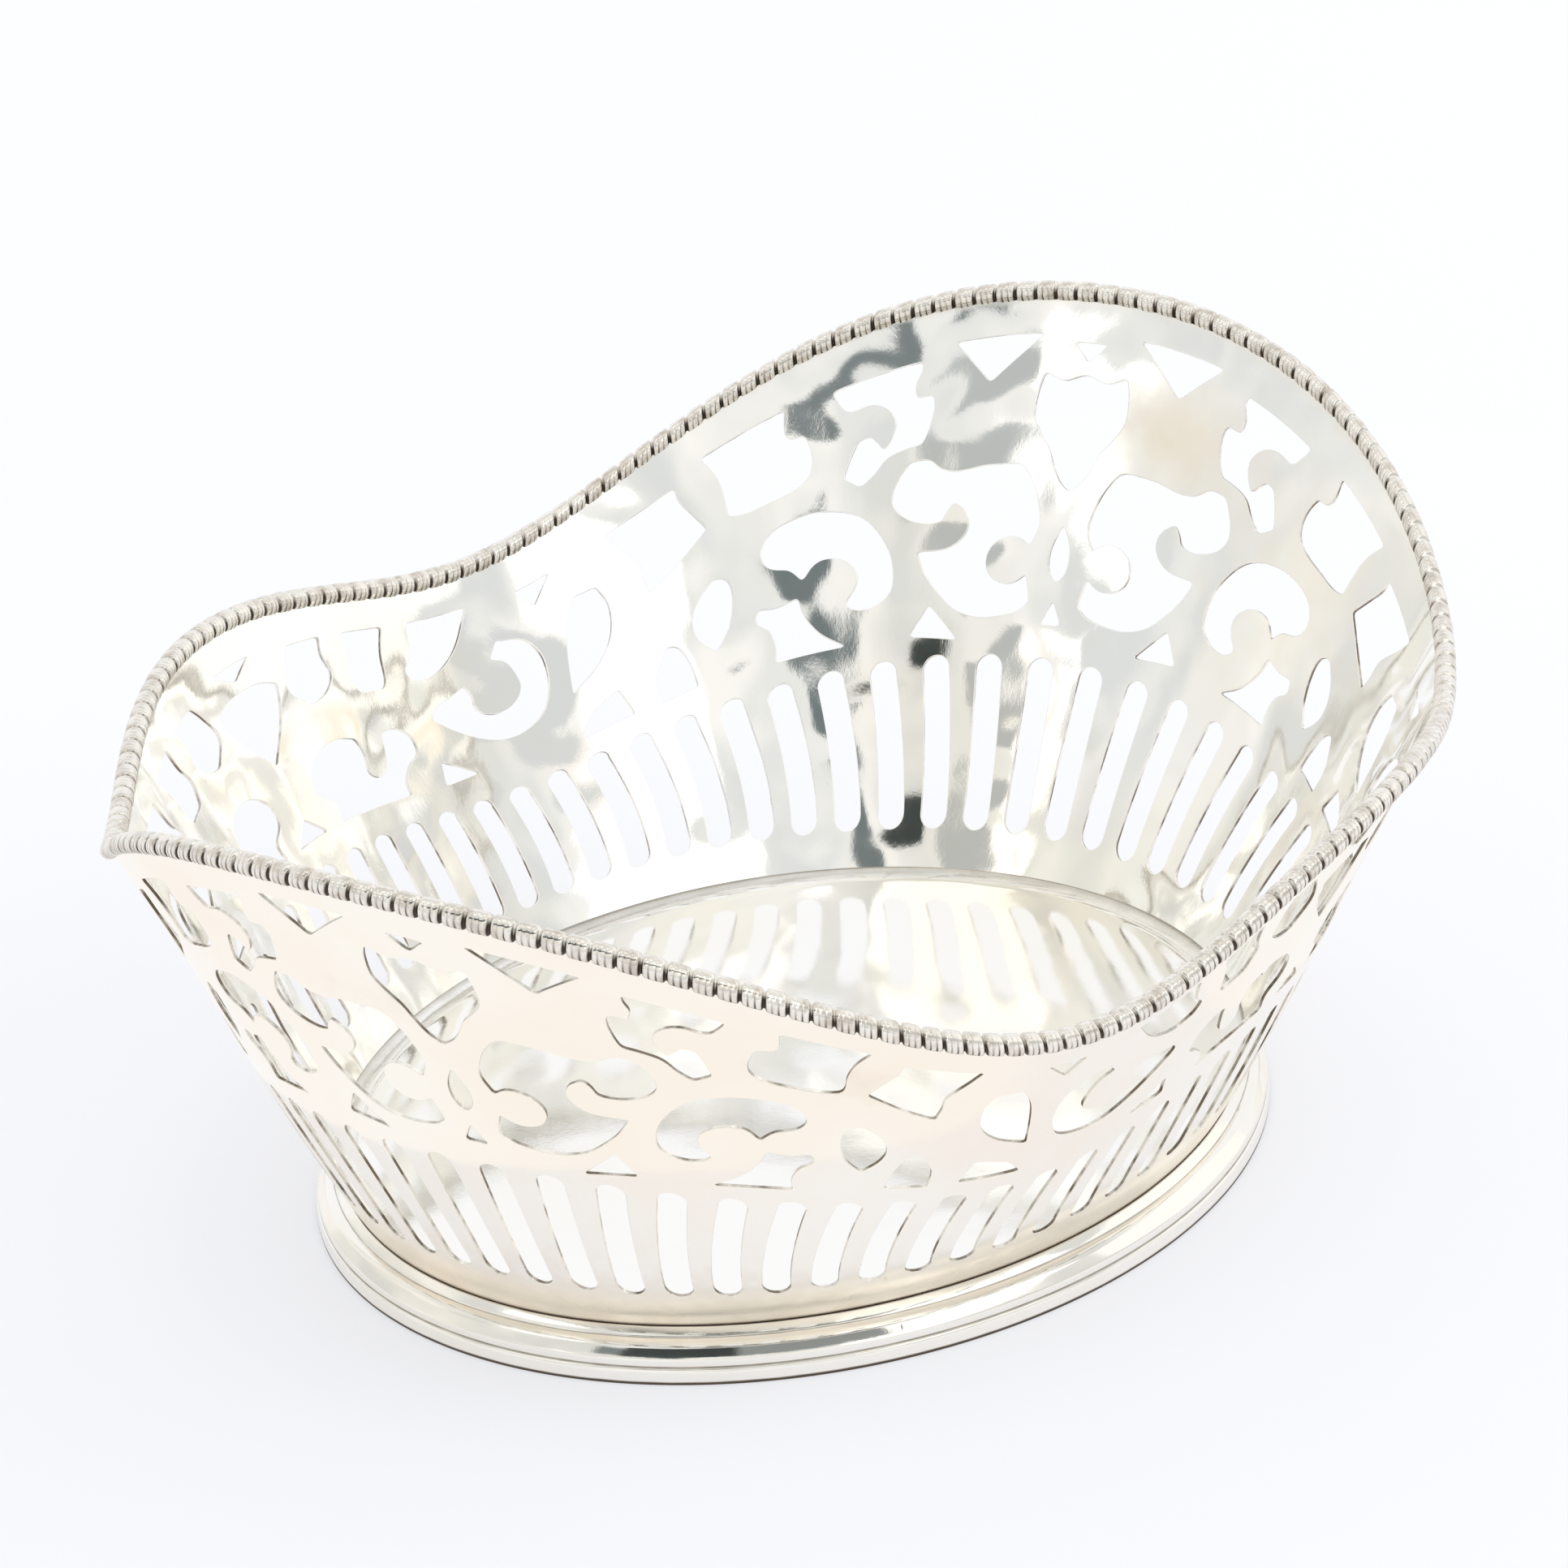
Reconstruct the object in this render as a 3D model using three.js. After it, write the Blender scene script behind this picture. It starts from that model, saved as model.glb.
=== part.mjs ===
// Oval openwork bonbon basket: pierced flaring wall, beaded rim wire, floor plate and stepped foot ring.
// Millimetres, +Z up. The long axis lies along X.
import * as THREE from 'three';

// Overall form
const RIM_RADIUS = [63.06, 8.89, 0.88, -0.83]; // mean rim radius, then its 2, 4 and 6 fold waves
const RIM_HEIGHT = [40.85, 6.67, 5.49, -0.36, -0.36]; // mean rim height, then its 2, 4, 6 and 8 fold waves
const LIFTED_CORNER_AT = THREE.MathUtils.degToRad(145.3); // the one corner that is bent in and up
const LIFTED_CORNER_SPREAD = 0.472;
const LIFTED_CORNER_IN = 4.3;
const LIFTED_CORNER_UP = 4.8;
const BASE_HALF_LENGTH = 45.4;
const BASE_HALF_WIDTH = 37.2;
const BASE_HEIGHT = 4.45;
const WALL_FLARE = 0.042; // how far the wall's section stands off a straight line
const WALL_OGEE = 0.175; // how much that section swells low down and flares near the rim

// Sheet, wire and fits
const WALL_THICKNESS = 0.8;
const FIT_GAP = 0.35;
const BEAD_RADIUS = 1.15; // to the corners of its sides
const BEAD_NECK_RADIUS = 0.84;
const BEAD_COUNT = 208;
const BEAD_SIDES = 5;
const FLOOR_THICKNESS = 0.8;
const FLOOR_CLEARANCE = 1.0; // from the wall's middle surface at its base to the floor's edge
const FOOT_TOP = 3.9;
const FOOT_SEGMENTS = 64;

// Saw piercing, laid out along the wall in slot pitches and up the wall as a share of its height
const SLOT_COUNT = 68;
const QUARTER = SLOT_COUNT / 4;
const SLOT_FOOT_WIDTH = 0.57;
const SLOT_HEAD_WIDTH = 0.52;
const SLOT_FOOT = 0.085;
const SLOT_HEAD = 0.38;
const SLOT_FOOT_RISE = 0.03; // towards the basket's long sides
const SLOT_HEAD_RISE = 0.035;
const SLOT_LEAN = 0.58; // most that a slot's head leans away from the basket's end, in pitches
const SLOT_FOOT_SHARE = 0.28; // share of that lean by which the foot stands nearer the end
const SLOT_END_POINTS = 3;
const STRAY_AT = -31; // the hand-laid scrollwork strays most here, at one end
const STRAY_SPREAD = 3.5;
const STRAY_TILT = 0.9;
const STRAY_DROP = 0.015;
const STRAY_MIDDLE = 0.56; // height share at which it doesn't stray sideways
const FAR_STRAY_AT = 2.8; // and a little at the other end
const FAR_STRAY_SPREAD = 2.6;
const FAR_STRAY_SHIFT = -0.12;
const FAR_STRAY_DROP = 0.01;
const PITCH_PER_HEIGHT = 11; // slot pitches that fit in the wall's full height
const TOP_EDGE_POINTS = SLOT_COUNT * 2;
const BASE_EDGE_POINTS = SLOT_COUNT * 1.5;
const BLANK_INNER_RADIUS = 41; // of the flat ring that the wall is laid out on
const BLANK_WIDTH = 55;

const CURVE_SAMPLES = 720;

function waves(amplitudes, angle) {
  return amplitudes.reduce((sum, amplitude, k) => sum + amplitude * Math.cos(2 * k * angle), 0);
}

function rimPoint(angle) {
  const turn = Math.atan2(Math.sin(angle - LIFTED_CORNER_AT), Math.cos(angle - LIFTED_CORNER_AT));
  const bend = Math.exp(-((turn / LIFTED_CORNER_SPREAD) ** 2));
  const radius = waves(RIM_RADIUS, angle) - LIFTED_CORNER_IN * bend;
  const height = waves(RIM_HEIGHT, angle) + LIFTED_CORNER_UP * bend;
  return new THREE.Vector3(radius * Math.cos(angle), radius * Math.sin(angle), height);
}

function basePoint(angle) {
  const x = BASE_HALF_LENGTH * Math.cos(angle);
  return new THREE.Vector3(x, BASE_HALF_WIDTH * Math.sin(angle), BASE_HEIGHT);
}

// A closed curve read by slot pitches, evenly spaced along each half from one end of the basket to the other
function evenlySpaced(pointAt) {
  const half = CURVE_SAMPLES / 2;
  const tables = [1, -1].map((side) => {
    const points = [];
    const lengths = [0];
    for (let i = 0; i <= half; i += 1) {
      points.push(pointAt((side * Math.PI * i) / half));
      if (i > 0) lengths.push(lengths[i - 1] + points[i].distanceTo(points[i - 1]));
    }
    return { points, lengths };
  });
  return (pitches) => {
    const turn = THREE.MathUtils.euclideanModulo(pitches + SLOT_COUNT / 2, SLOT_COUNT) - SLOT_COUNT / 2;
    const { points, lengths } = tables[turn < 0 ? 1 : 0];
    const wanted = (Math.abs(turn) / (SLOT_COUNT / 2)) * lengths[half];
    let i = Math.min(half - 1, Math.floor((Math.abs(turn) / (SLOT_COUNT / 2)) * half));
    while (i > 0 && lengths[i] > wanted) i -= 1;
    while (i < half - 1 && lengths[i + 1] < wanted) i += 1;
    const share = (wanted - lengths[i]) / (lengths[i + 1] - lengths[i]);
    return points[i].clone().lerp(points[i + 1], share);
  };
}

const rimAt = evenlySpaced(rimPoint);
const baseAt = evenlySpaced(basePoint);

// Middle surface of the wall
function wallPoint(pitches, height) {
  const low = baseAt(pitches);
  const high = rimAt(pitches);
  const swell = height * (1 - height);
  const outward = height + WALL_FLARE * swell + WALL_OGEE * swell * (1 - 2 * height);
  return new THREE.Vector3(
    low.x + (high.x - low.x) * outward,
    low.y + (high.y - low.y) * outward,
    low.z + (high.z - low.z) * height,
  );
}

function wallFrame(pitches, height) {
  const step = 0.01;
  const along = wallPoint(pitches + step * 5, height).sub(wallPoint(pitches - step * 5, height)).normalize();
  const up = wallPoint(pitches, height + step).sub(wallPoint(pitches, height - step));
  const outward = along.clone().cross(up).normalize();
  return { along, up: up.normalize(), outward };
}

function wallTop(pitches) {
  const slant = wallPoint(pitches, 1).distanceTo(wallPoint(pitches, 0.9)) * 10;
  return 1 - (BEAD_RADIUS + FIT_GAP) / slant;
}

// Outlines of the openings in one quarter, from the end of the basket (0) to the middle of its side (17)
function ballArc(pitch, height, radius, fromDegrees, toDegrees, count) {
  const points = [];
  for (let i = 0; i <= count; i += 1) {
    const angle = THREE.MathUtils.degToRad(fromDegrees + ((toDegrees - fromDegrees) * i) / count);
    points.push([pitch + radius * Math.cos(angle), height + (radius * Math.sin(angle)) / PITCH_PER_HEIGHT]);
  }
  return points;
}

function triangleOverFlower() {
  return [[0.82, 0.935], [2.34, 0.935], [1.68, 0.858]];
}

function scrollRoundBall() {
  return [
    [0.95, 0.712], [1.3, 0.714], [1.62, 0.714], [2.1, 0.709], [2.42, 0.717], [2.66, 0.737], [3.0, 0.74],
    [3.22, 0.705], [3.28, 0.677], [3.16, 0.653], [2.9, 0.634], [2.58, 0.624], [2.34, 0.626],
    [2.28, 0.642], [2.14, 0.657], [1.92, 0.638], [1.84, 0.612], [1.98, 0.588], [2.25, 0.575], [2.8, 0.577],
    [2.6, 0.534], [2.34, 0.5], [2.02, 0.47], [1.6, 0.454], [1.25, 0.452], [0.75, 0.46], [0.5, 0.478],
    ...ballArc(1.0, 0.549, 0.46, -145, 145, 7),
    [0.48, 0.61], [0.58, 0.655], [0.72, 0.685],
  ];
}

function openingRoundHook() {
  return [
    [2.86, 0.913], [4.35, 0.908], [4.24, 0.884], [4.06, 0.861], [3.7, 0.862], [3.42, 0.846], [3.26, 0.816],
    [3.34, 0.787], [3.46, 0.772], [3.58, 0.788], [3.7, 0.804], [3.9, 0.802], [4.02, 0.777], [4.15, 0.742],
    [3.85, 0.717], [3.6, 0.735], [3.4, 0.757], [3.06, 0.766], [2.8, 0.768], [2.7, 0.792], [2.62, 0.831],
    [2.66, 0.851], [2.94, 0.851], [2.97, 0.876], [2.88, 0.895],
  ];
}

function endScroll() {
  return [
    [3.22, 0.543], [3.26, 0.514], [3.46, 0.496], [3.72, 0.49], [4.02, 0.499], [4.1, 0.511], [3.92, 0.533],
    [3.88, 0.558], [4.04, 0.583], [4.34, 0.601], [4.66, 0.601], [4.9, 0.576], [5.02, 0.592], [5.14, 0.605],
    [5.46, 0.62], [5.62, 0.638], [5.66, 0.662], [5.54, 0.685], [5.26, 0.697], [4.8, 0.698], [4.34, 0.687],
    [3.86, 0.663], [3.54, 0.628], [3.3, 0.583],
  ];
}

function openingBelowScroll() {
  return [
    [4.1, 0.43], [5.45, 0.434], [5.42, 0.462], [5.55, 0.5], [5.8, 0.525], [5.75, 0.55], [5.4, 0.54],
    [5.0, 0.545], [4.9, 0.51], [4.58, 0.464],
  ];
}

function triangleOverSlots() {
  return [[1.9, 0.415], [2.85, 0.428], [2.5, 0.48]];
}

function openingBesideLeaf() {
  return [
    [5.18, 0.915], [6.68, 0.913], [6.43, 0.865], [6.3, 0.82], [6.22, 0.765], [5.9, 0.753], [5.5, 0.752],
    [5.06, 0.754], [4.78, 0.767], [4.7, 0.791], [4.74, 0.821], [4.86, 0.85], [5.06, 0.853], [5.18, 0.871],
  ];
}

function cornerLeafOpening() {
  return [
    [7.2, 0.888], [8.6, 0.888], [8.35, 0.84], [8.0, 0.78], [7.95, 0.74], [7.85, 0.7], [7.3, 0.725],
    [6.65, 0.765], [6.95, 0.82], [7.15, 0.86],
  ];
}

function cornerCrescent() {
  return [
    [6.6, 0.655], [6.95, 0.62], [7.05, 0.575], [6.9, 0.535], [6.62, 0.503], [6.35, 0.54], [6.25, 0.6],
    [6.35, 0.64],
  ];
}

function cornerDrop() {
  return [[7.05, 0.447], [7.85, 0.447], [7.9, 0.51], [7.65, 0.565], [7.4, 0.55], [7.15, 0.49]];
}

function cornerWedge() {
  return [[8.45, 0.455], [9.7, 0.46], [9.4, 0.505], [8.75, 0.53]];
}

function cornerTeardrop() {
  return [
    [9.4, 0.8], [8.9, 0.79], [8.7, 0.73], [8.75, 0.66], [9.1, 0.61], [9.7, 0.575], [9.68, 0.66], [9.6, 0.74],
  ];
}

function triangleUnderBorder() {
  return [[9.75, 0.888], [10.5, 0.888], [10.15, 0.83]];
}

function sideScroll() {
  return [
    [11.07, 0.795], [10.55, 0.77], [10.25, 0.72], [10.16, 0.667], [10.2, 0.616], [10.4, 0.57], [10.9, 0.545],
    [11.4, 0.546], [11.93, 0.57], [12.4, 0.603], [12.9, 0.648], [12.8, 0.674], [12.37, 0.693], [11.98, 0.712],
    ...ballArc(11.32, 0.665, 0.56, 375, 165, 5),
    [10.98, 0.735], [11.28, 0.755],
  ];
}

function openingBesideHook() {
  return [
    [12.8, 0.905], [11.5, 0.905], [11.9, 0.82], [12.3, 0.775], [12.7, 0.755], [13.05, 0.757], [13.15, 0.785],
    [12.95, 0.82], [12.85, 0.87],
  ];
}

function openingBetweenHooks() {
  return [
    [14.25, 0.905], [13.35, 0.905], [13.55, 0.84], [13.65, 0.77], [13.75, 0.752], [14.3, 0.752], [14.45, 0.8],
    [14.3, 0.85],
  ];
}

function openingBehindHook() {
  return [
    [15.55, 0.9], [14.75, 0.905], [14.85, 0.86], [14.8, 0.81], [15.1, 0.77], [15.5, 0.755], [15.9, 0.8],
    [15.75, 0.86],
  ];
}

function openingRoundDrop() {
  return [
    [16.0, 0.478], [13.95, 0.48], [14.0, 0.512], [13.75, 0.555], [13.5, 0.575], [13.52, 0.62], [13.85, 0.65],
    [14.2, 0.645], [14.25, 0.6], [14.38, 0.555], [14.6, 0.542], [14.8, 0.56], [14.75, 0.61], [14.85, 0.65],
    [15.3, 0.66], [15.9, 0.645], [16.3, 0.6], [16.3, 0.555], [15.95, 0.525],
  ];
}

function sideTriangle() {
  return [[13.05, 0.478], [13.0, 0.54], [12.15, 0.485]];
}

// Half outlines of the openings that lie across an axis, measured from that axis
function borderNotch() {
  return [[0, 0.886], [0.28, 0.92]];
}

function openingBetweenFlowers() {
  return [
    [0, 0.668], [0.2, 0.685], [0.35, 0.71], [0.48, 0.74], [0.66, 0.765], [0.82, 0.795], [0.8, 0.84],
    [0.72, 0.87], [0.38, 0.855], [0, 0.866],
  ];
}

function lensInTrunk() {
  return [[0, 0.512], [0.16, 0.53], [0.18, 0.57], [0, 0.612]];
}

function triangleInTrunk() {
  return [[0, 0.482], [0.22, 0.44]];
}

function sideBorderNotch() {
  return [[0, 0.872], [0.55, 0.91]];
}

function sideShield() {
  return [[0, 0.665], [0.5, 0.73], [0.8, 0.79], [0.9, 0.83], [0.5, 0.845], [0, 0.848]];
}

function sideGable() {
  return [[0, 0.53], [0.5, 0.478]];
}

function acrossAxis(halfOutline, axisPitch) {
  const right = halfOutline.map(([pitch, height]) => [axisPitch + pitch, height]);
  const offAxis = halfOutline.filter(([pitch]) => pitch > 0);
  const left = offAxis.map(([pitch, height]) => [axisPitch - pitch, height]);
  return [...right, ...left.reverse()];
}

function inFourQuarters(outline) {
  const end = SLOT_COUNT / 2;
  return [
    outline,
    outline.map(([pitch, height]) => [-pitch, height]),
    outline.map(([pitch, height]) => [end - pitch, height]),
    outline.map(([pitch, height]) => [pitch - end, height]),
  ];
}

function scrollOpenings() {
  const quarters = [
    triangleOverFlower(), scrollRoundBall(), openingRoundHook(), endScroll(), openingBelowScroll(),
    triangleOverSlots(), openingBesideLeaf(), cornerLeafOpening(), cornerCrescent(), cornerDrop(),
    cornerWedge(), cornerTeardrop(), triangleUnderBorder(), sideScroll(), openingBesideHook(),
    openingBetweenHooks(), openingBehindHook(), openingRoundDrop(), sideTriangle(),
  ];
  const atEnds = [borderNotch(), openingBetweenFlowers(), lensInTrunk(), triangleInTrunk()];
  const atSides = [sideBorderNotch(), sideShield(), sideGable()];
  return [
    ...quarters.flatMap(inFourQuarters),
    ...atEnds.flatMap((half) => [acrossAxis(half, 0), acrossAxis(half, SLOT_COUNT / 2)]),
    ...atSides.flatMap((half) => [acrossAxis(half, QUARTER), acrossAxis(half, -QUARTER)]),
  ];
}

function slotOpening(index) {
  const fromEnd = Math.abs(THREE.MathUtils.euclideanModulo(index + QUARTER, 2 * QUARTER) - QUARTER);
  const rise = THREE.MathUtils.smoothstep(fromEnd, 3, 11);
  const lean = SLOT_LEAN * Math.sin((Math.PI * index) / QUARTER);
  const pitchAt = (share) => index + lean * (share ** 1.5 - SLOT_FOOT_SHARE);
  const footRadius = SLOT_FOOT_WIDTH / 2;
  const headRadius = SLOT_HEAD_WIDTH / 2;
  const foot = SLOT_FOOT + SLOT_FOOT_RISE * rise + footRadius / PITCH_PER_HEIGHT;
  const head = SLOT_HEAD + SLOT_HEAD_RISE * rise - headRadius / PITCH_PER_HEIGHT;
  const middle = (foot + head) / 2;
  const middleRadius = (footRadius + headRadius) / 2;
  return [
    ...ballArc(pitchAt(1), head, headRadius, 0, 180, SLOT_END_POINTS),
    [pitchAt(0.5) - middleRadius, middle],
    ...ballArc(pitchAt(0), foot, footRadius, 180, 360, SLOT_END_POINTS),
    [pitchAt(0.5) + middleRadius, middle],
  ];
}

function slotOpenings() {
  return Array.from({ length: SLOT_COUNT }, (_, index) => slotOpening(index));
}

// Where the saw went: the scrollwork was laid out by hand, and strays a little at both ends
function asSawn([pitch, height]) {
  const nearness = (at, spread) => {
    const away = THREE.MathUtils.euclideanModulo(pitch - at + SLOT_COUNT / 2, SLOT_COUNT) - SLOT_COUNT / 2;
    return Math.exp(-((away / spread) ** 2));
  };
  const near = nearness(STRAY_AT, STRAY_SPREAD);
  const far = nearness(FAR_STRAY_AT, FAR_STRAY_SPREAD);
  return [
    pitch + near * STRAY_TILT * (height - STRAY_MIDDLE) + far * FAR_STRAY_SHIFT,
    height - near * STRAY_DROP - far * FAR_STRAY_DROP,
  ];
}

// Layout of the wall on a flat ring, so that its two faces share one set of facets
function onBlank([pitch, height]) {
  const angle = (2 * Math.PI * pitch) / SLOT_COUNT;
  const radius = BLANK_INNER_RADIUS + BLANK_WIDTH * height;
  return new THREE.Vector2(radius * Math.cos(angle), radius * Math.sin(angle));
}

function edgeLoop(count, heightAt) {
  return Array.from({ length: count }, (_, i) => {
    const pitch = (i * SLOT_COUNT) / count;
    return [pitch, heightAt(pitch)];
  });
}

// Swaps diagonals until every facet pair is as well shaped as it can be on the bent sheet
function relaxFacets(facets, flat, bent) {
  const key = (a, b) => (a < b ? `${a},${b}` : `${b},${a}`);
  const corner = (a, b, c) => bent[a].clone().sub(bent[c]).angleTo(bent[b].clone().sub(bent[c]));
  const turns = (a, b, c) => {
    const first = flat[b].clone().sub(flat[a]);
    return first.cross(flat[c].clone().sub(flat[b])) > 1e-6;
  };
  for (let round = 0; round < 12; round += 1) {
    const owners = new Map();
    facets.forEach((facet, index) => {
      for (let i = 0; i < 3; i += 1) {
        const edge = key(facet[i], facet[(i + 1) % 3]);
        owners.set(edge, [...(owners.get(edge) ?? []), index]);
      }
    });
    const touched = new Set();
    let swaps = 0;
    for (const [edge, pair] of owners) {
      if (pair.length !== 2 || touched.has(pair[0]) || touched.has(pair[1])) continue;
      const [a, b] = edge.split(',').map(Number);
      const [first, second] = pair.map((index) => facets[index]);
      const left = first.find((v) => v !== a && v !== b);
      const right = second.find((v) => v !== a && v !== b);
      if (corner(a, b, left) + corner(a, b, right) <= Math.PI + 1e-4) continue;
      const forward = first[(first.indexOf(a) + 1) % 3] === b;
      const [from, to] = forward ? [a, b] : [b, a];
      if (!turns(left, from, right) || !turns(from, right, to)) continue;
      if (!turns(right, to, left) || !turns(to, left, from)) continue;
      facets[pair[0]] = [left, from, right];
      facets[pair[1]] = [right, to, left];
      touched.add(pair[0]).add(pair[1]);
      swaps += 1;
    }
    if (swaps === 0) break;
  }
}

function piercedWallGeometry() {
  const topEdge = edgeLoop(TOP_EDGE_POINTS, wallTop);
  const baseEdge = edgeLoop(BASE_EDGE_POINTS, () => 0);
  const openings = [...slotOpenings(), ...scrollOpenings().map((outline) => outline.map(asSawn))];
  const loops = [topEdge, baseEdge, ...openings];
  const flatLoops = loops.map((loop) => loop.map(onBlank));
  const places = [];
  const flat = [];
  flatLoops.forEach((flatLoop, index) => {
    const wantsReverse = THREE.ShapeUtils.isClockWise(flatLoop) === (index === 0);
    const order = flatLoop.map((_, i) => (wantsReverse ? flatLoop.length - 1 - i : i));
    flatLoops[index] = order.map((i) => flatLoop[i]);
    places.push(...order.map((i) => loops[index][i]));
    flat.push(...flatLoops[index]);
  });
  const facets = THREE.ShapeUtils.triangulateShape(flatLoops[0], flatLoops.slice(1));
  const middle = places.map(([pitch, height]) => wallPoint(pitch, height));
  relaxFacets(facets, flat, middle);

  const positions = [];
  const half = WALL_THICKNESS / 2;
  for (const side of [-half, half]) {
    places.forEach(([pitch, height], i) => {
      const { outward } = wallFrame(pitch, height);
      positions.push(...middle[i].clone().addScaledVector(outward, side).toArray());
    });
  }
  const count = places.length;
  const triangles = [];
  const borders = new Map();
  for (const [a, b, c] of facets) {
    triangles.push(a, b, c, c + count, b + count, a + count);
    for (const [from, to] of [[a, b], [b, c], [c, a]]) {
      if (!borders.delete(`${to},${from}`)) borders.set(`${from},${to}`, [from, to]);
    }
  }
  for (const [from, to] of borders.values()) {
    triangles.push(to, from, from + count, to, from + count, to + count);
  }
  const geometry = new THREE.BufferGeometry();
  geometry.setAttribute('position', new THREE.Float32BufferAttribute(positions, 3));
  geometry.setIndex(triangles);
  return geometry;
}

// A closed tube or ring from its rows of section points, one row per station round the basket
function ringGeometry(rows) {
  const sides = rows[0].length;
  const positions = rows.flat().flatMap((point) => point.toArray());
  const triangles = [];
  for (let i = 0; i < rows.length; i += 1) {
    const next = (i + 1) % rows.length;
    for (let j = 0; j < sides; j += 1) {
      const across = (j + 1) % sides;
      const a = i * sides + j;
      const b = next * sides + j;
      const c = next * sides + across;
      const d = i * sides + across;
      triangles.push(a, b, c, a, c, d);
    }
  }
  const geometry = new THREE.BufferGeometry();
  geometry.setAttribute('position', new THREE.Float32BufferAttribute(positions, 3));
  geometry.setIndex(triangles);
  return geometry;
}

function beadedWireGeometry() {
  const rows = [];
  for (let i = 0; i < 2 * BEAD_COUNT; i += 1) {
    const pitch = (i * SLOT_COUNT) / (2 * BEAD_COUNT);
    const centre = rimAt(pitch);
    const { up, outward } = wallFrame(pitch, 1);
    const radius = i % 2 === 0 ? BEAD_RADIUS : BEAD_NECK_RADIUS;
    const row = [];
    for (let j = 0; j < BEAD_SIDES; j += 1) {
      const angle = (2 * Math.PI * j) / BEAD_SIDES;
      const offset = outward.clone().multiplyScalar(radius * Math.cos(angle));
      row.push(centre.clone().add(offset).addScaledVector(up, radius * Math.sin(angle)));
    }
    rows.push(row);
  }
  return ringGeometry(rows);
}

// Section of the foot: distance out from the wall's base line, then height
function footSection() {
  return [
    [2.58, 0], [2.6, 0.7], [2.5, 1.42], [2.28, 1.53], [2.45, 2.0], [2.3, 2.7], [1.9, 3.2], [1.4, 3.48],
    [0.95, 3.53], [0.8, FOOT_TOP], [-3.2, FOOT_TOP], [-3.2, FOOT_TOP - 0.8], [0.3, FOOT_TOP - 0.8], [1.0, 0],
  ];
}

function footGeometry() {
  const rows = [];
  for (let i = 0; i < FOOT_SEGMENTS; i += 1) {
    const angle = (2 * Math.PI * i) / FOOT_SEGMENTS;
    rows.push(footSection().map(([out, height]) => new THREE.Vector3(
      (BASE_HALF_LENGTH + out) * Math.cos(angle),
      (BASE_HALF_WIDTH + out) * Math.sin(angle),
      height,
    )));
  }
  return ringGeometry(rows);
}

function floorGeometry() {
  const outline = new THREE.Shape();
  outline.absellipse(
    0, 0, BASE_HALF_LENGTH - FLOOR_CLEARANCE, BASE_HALF_WIDTH - FLOOR_CLEARANCE, 0, 2 * Math.PI, false, 0,
  );
  const geometry = new THREE.ExtrudeGeometry(outline, {
    depth: FLOOR_THICKNESS, bevelEnabled: false, curveSegments: FOOT_SEGMENTS, steps: 1,
  });
  geometry.translate(0, 0, FOOT_TOP + FIT_GAP);
  return geometry;
}

function silver(name, color, roughness) {
  const material = new THREE.MeshStandardMaterial({ color, metalness: 1, roughness });
  material.name = name;
  return material;
}

function part(name, geometry, material) {
  const mesh = new THREE.Mesh(geometry, material);
  mesh.name = name;
  return mesh;
}

function piercedWall() {
  return part('pierced_wall', piercedWallGeometry(), silver('polished_sheet', 0xe9e6df, 0.12));
}

function beadedRim() {
  return part('beaded_rim_wire', beadedWireGeometry(), silver('beaded_wire', 0xe2ded6, 0.2));
}

function floorPlate() {
  return part('floor_plate', floorGeometry(), silver('polished_floor', 0xebe8e2, 0.1));
}

function footRing() {
  return part('foot_ring', footGeometry(), silver('stepped_foot', 0xe6e3dc, 0.15));
}

// Puts the origin under the middle of the whole basket
function centre(basket) {
  const box = new THREE.Box3().setFromObject(basket);
  const middle = box.getCenter(new THREE.Vector3());
  basket.children.forEach((mesh) => mesh.geometry.translate(-middle.x, -middle.y, -box.min.z));
}

const basket = new THREE.Group();
basket.name = 'bonbon_basket';
basket.add(footRing(), floorPlate(), piercedWall(), beadedRim());
centre(basket);

export default basket;
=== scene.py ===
"""Polished silver openwork bonbon basket, dressed over its CAD frame."""

import math

import bpy
import numpy as np
from mathutils import Matrix, Vector
from mathutils.geometry import delaunay_2d_cdt
from mathutils.kdtree import KDTree

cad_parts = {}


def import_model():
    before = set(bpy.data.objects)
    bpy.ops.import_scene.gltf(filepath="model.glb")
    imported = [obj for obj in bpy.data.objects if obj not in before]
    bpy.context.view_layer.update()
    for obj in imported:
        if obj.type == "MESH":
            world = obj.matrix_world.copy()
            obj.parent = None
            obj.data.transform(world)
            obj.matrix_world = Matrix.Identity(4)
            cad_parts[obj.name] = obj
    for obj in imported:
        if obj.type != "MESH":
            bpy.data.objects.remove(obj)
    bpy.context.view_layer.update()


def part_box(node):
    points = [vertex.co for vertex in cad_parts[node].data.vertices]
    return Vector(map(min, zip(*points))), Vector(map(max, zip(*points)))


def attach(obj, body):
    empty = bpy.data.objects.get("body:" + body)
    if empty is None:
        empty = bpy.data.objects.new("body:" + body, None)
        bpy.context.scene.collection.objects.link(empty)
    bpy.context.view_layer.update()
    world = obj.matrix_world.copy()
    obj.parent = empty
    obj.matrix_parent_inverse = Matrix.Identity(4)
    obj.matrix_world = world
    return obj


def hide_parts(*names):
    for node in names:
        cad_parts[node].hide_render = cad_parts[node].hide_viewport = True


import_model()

MM = 0.001
foot_low, foot_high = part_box("foot_ring")
CENTRE_SHIFT = np.array([(foot_low.x + foot_high.x) / 2, (foot_low.y + foot_high.y) / 2, 0.0]) / MM

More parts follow.
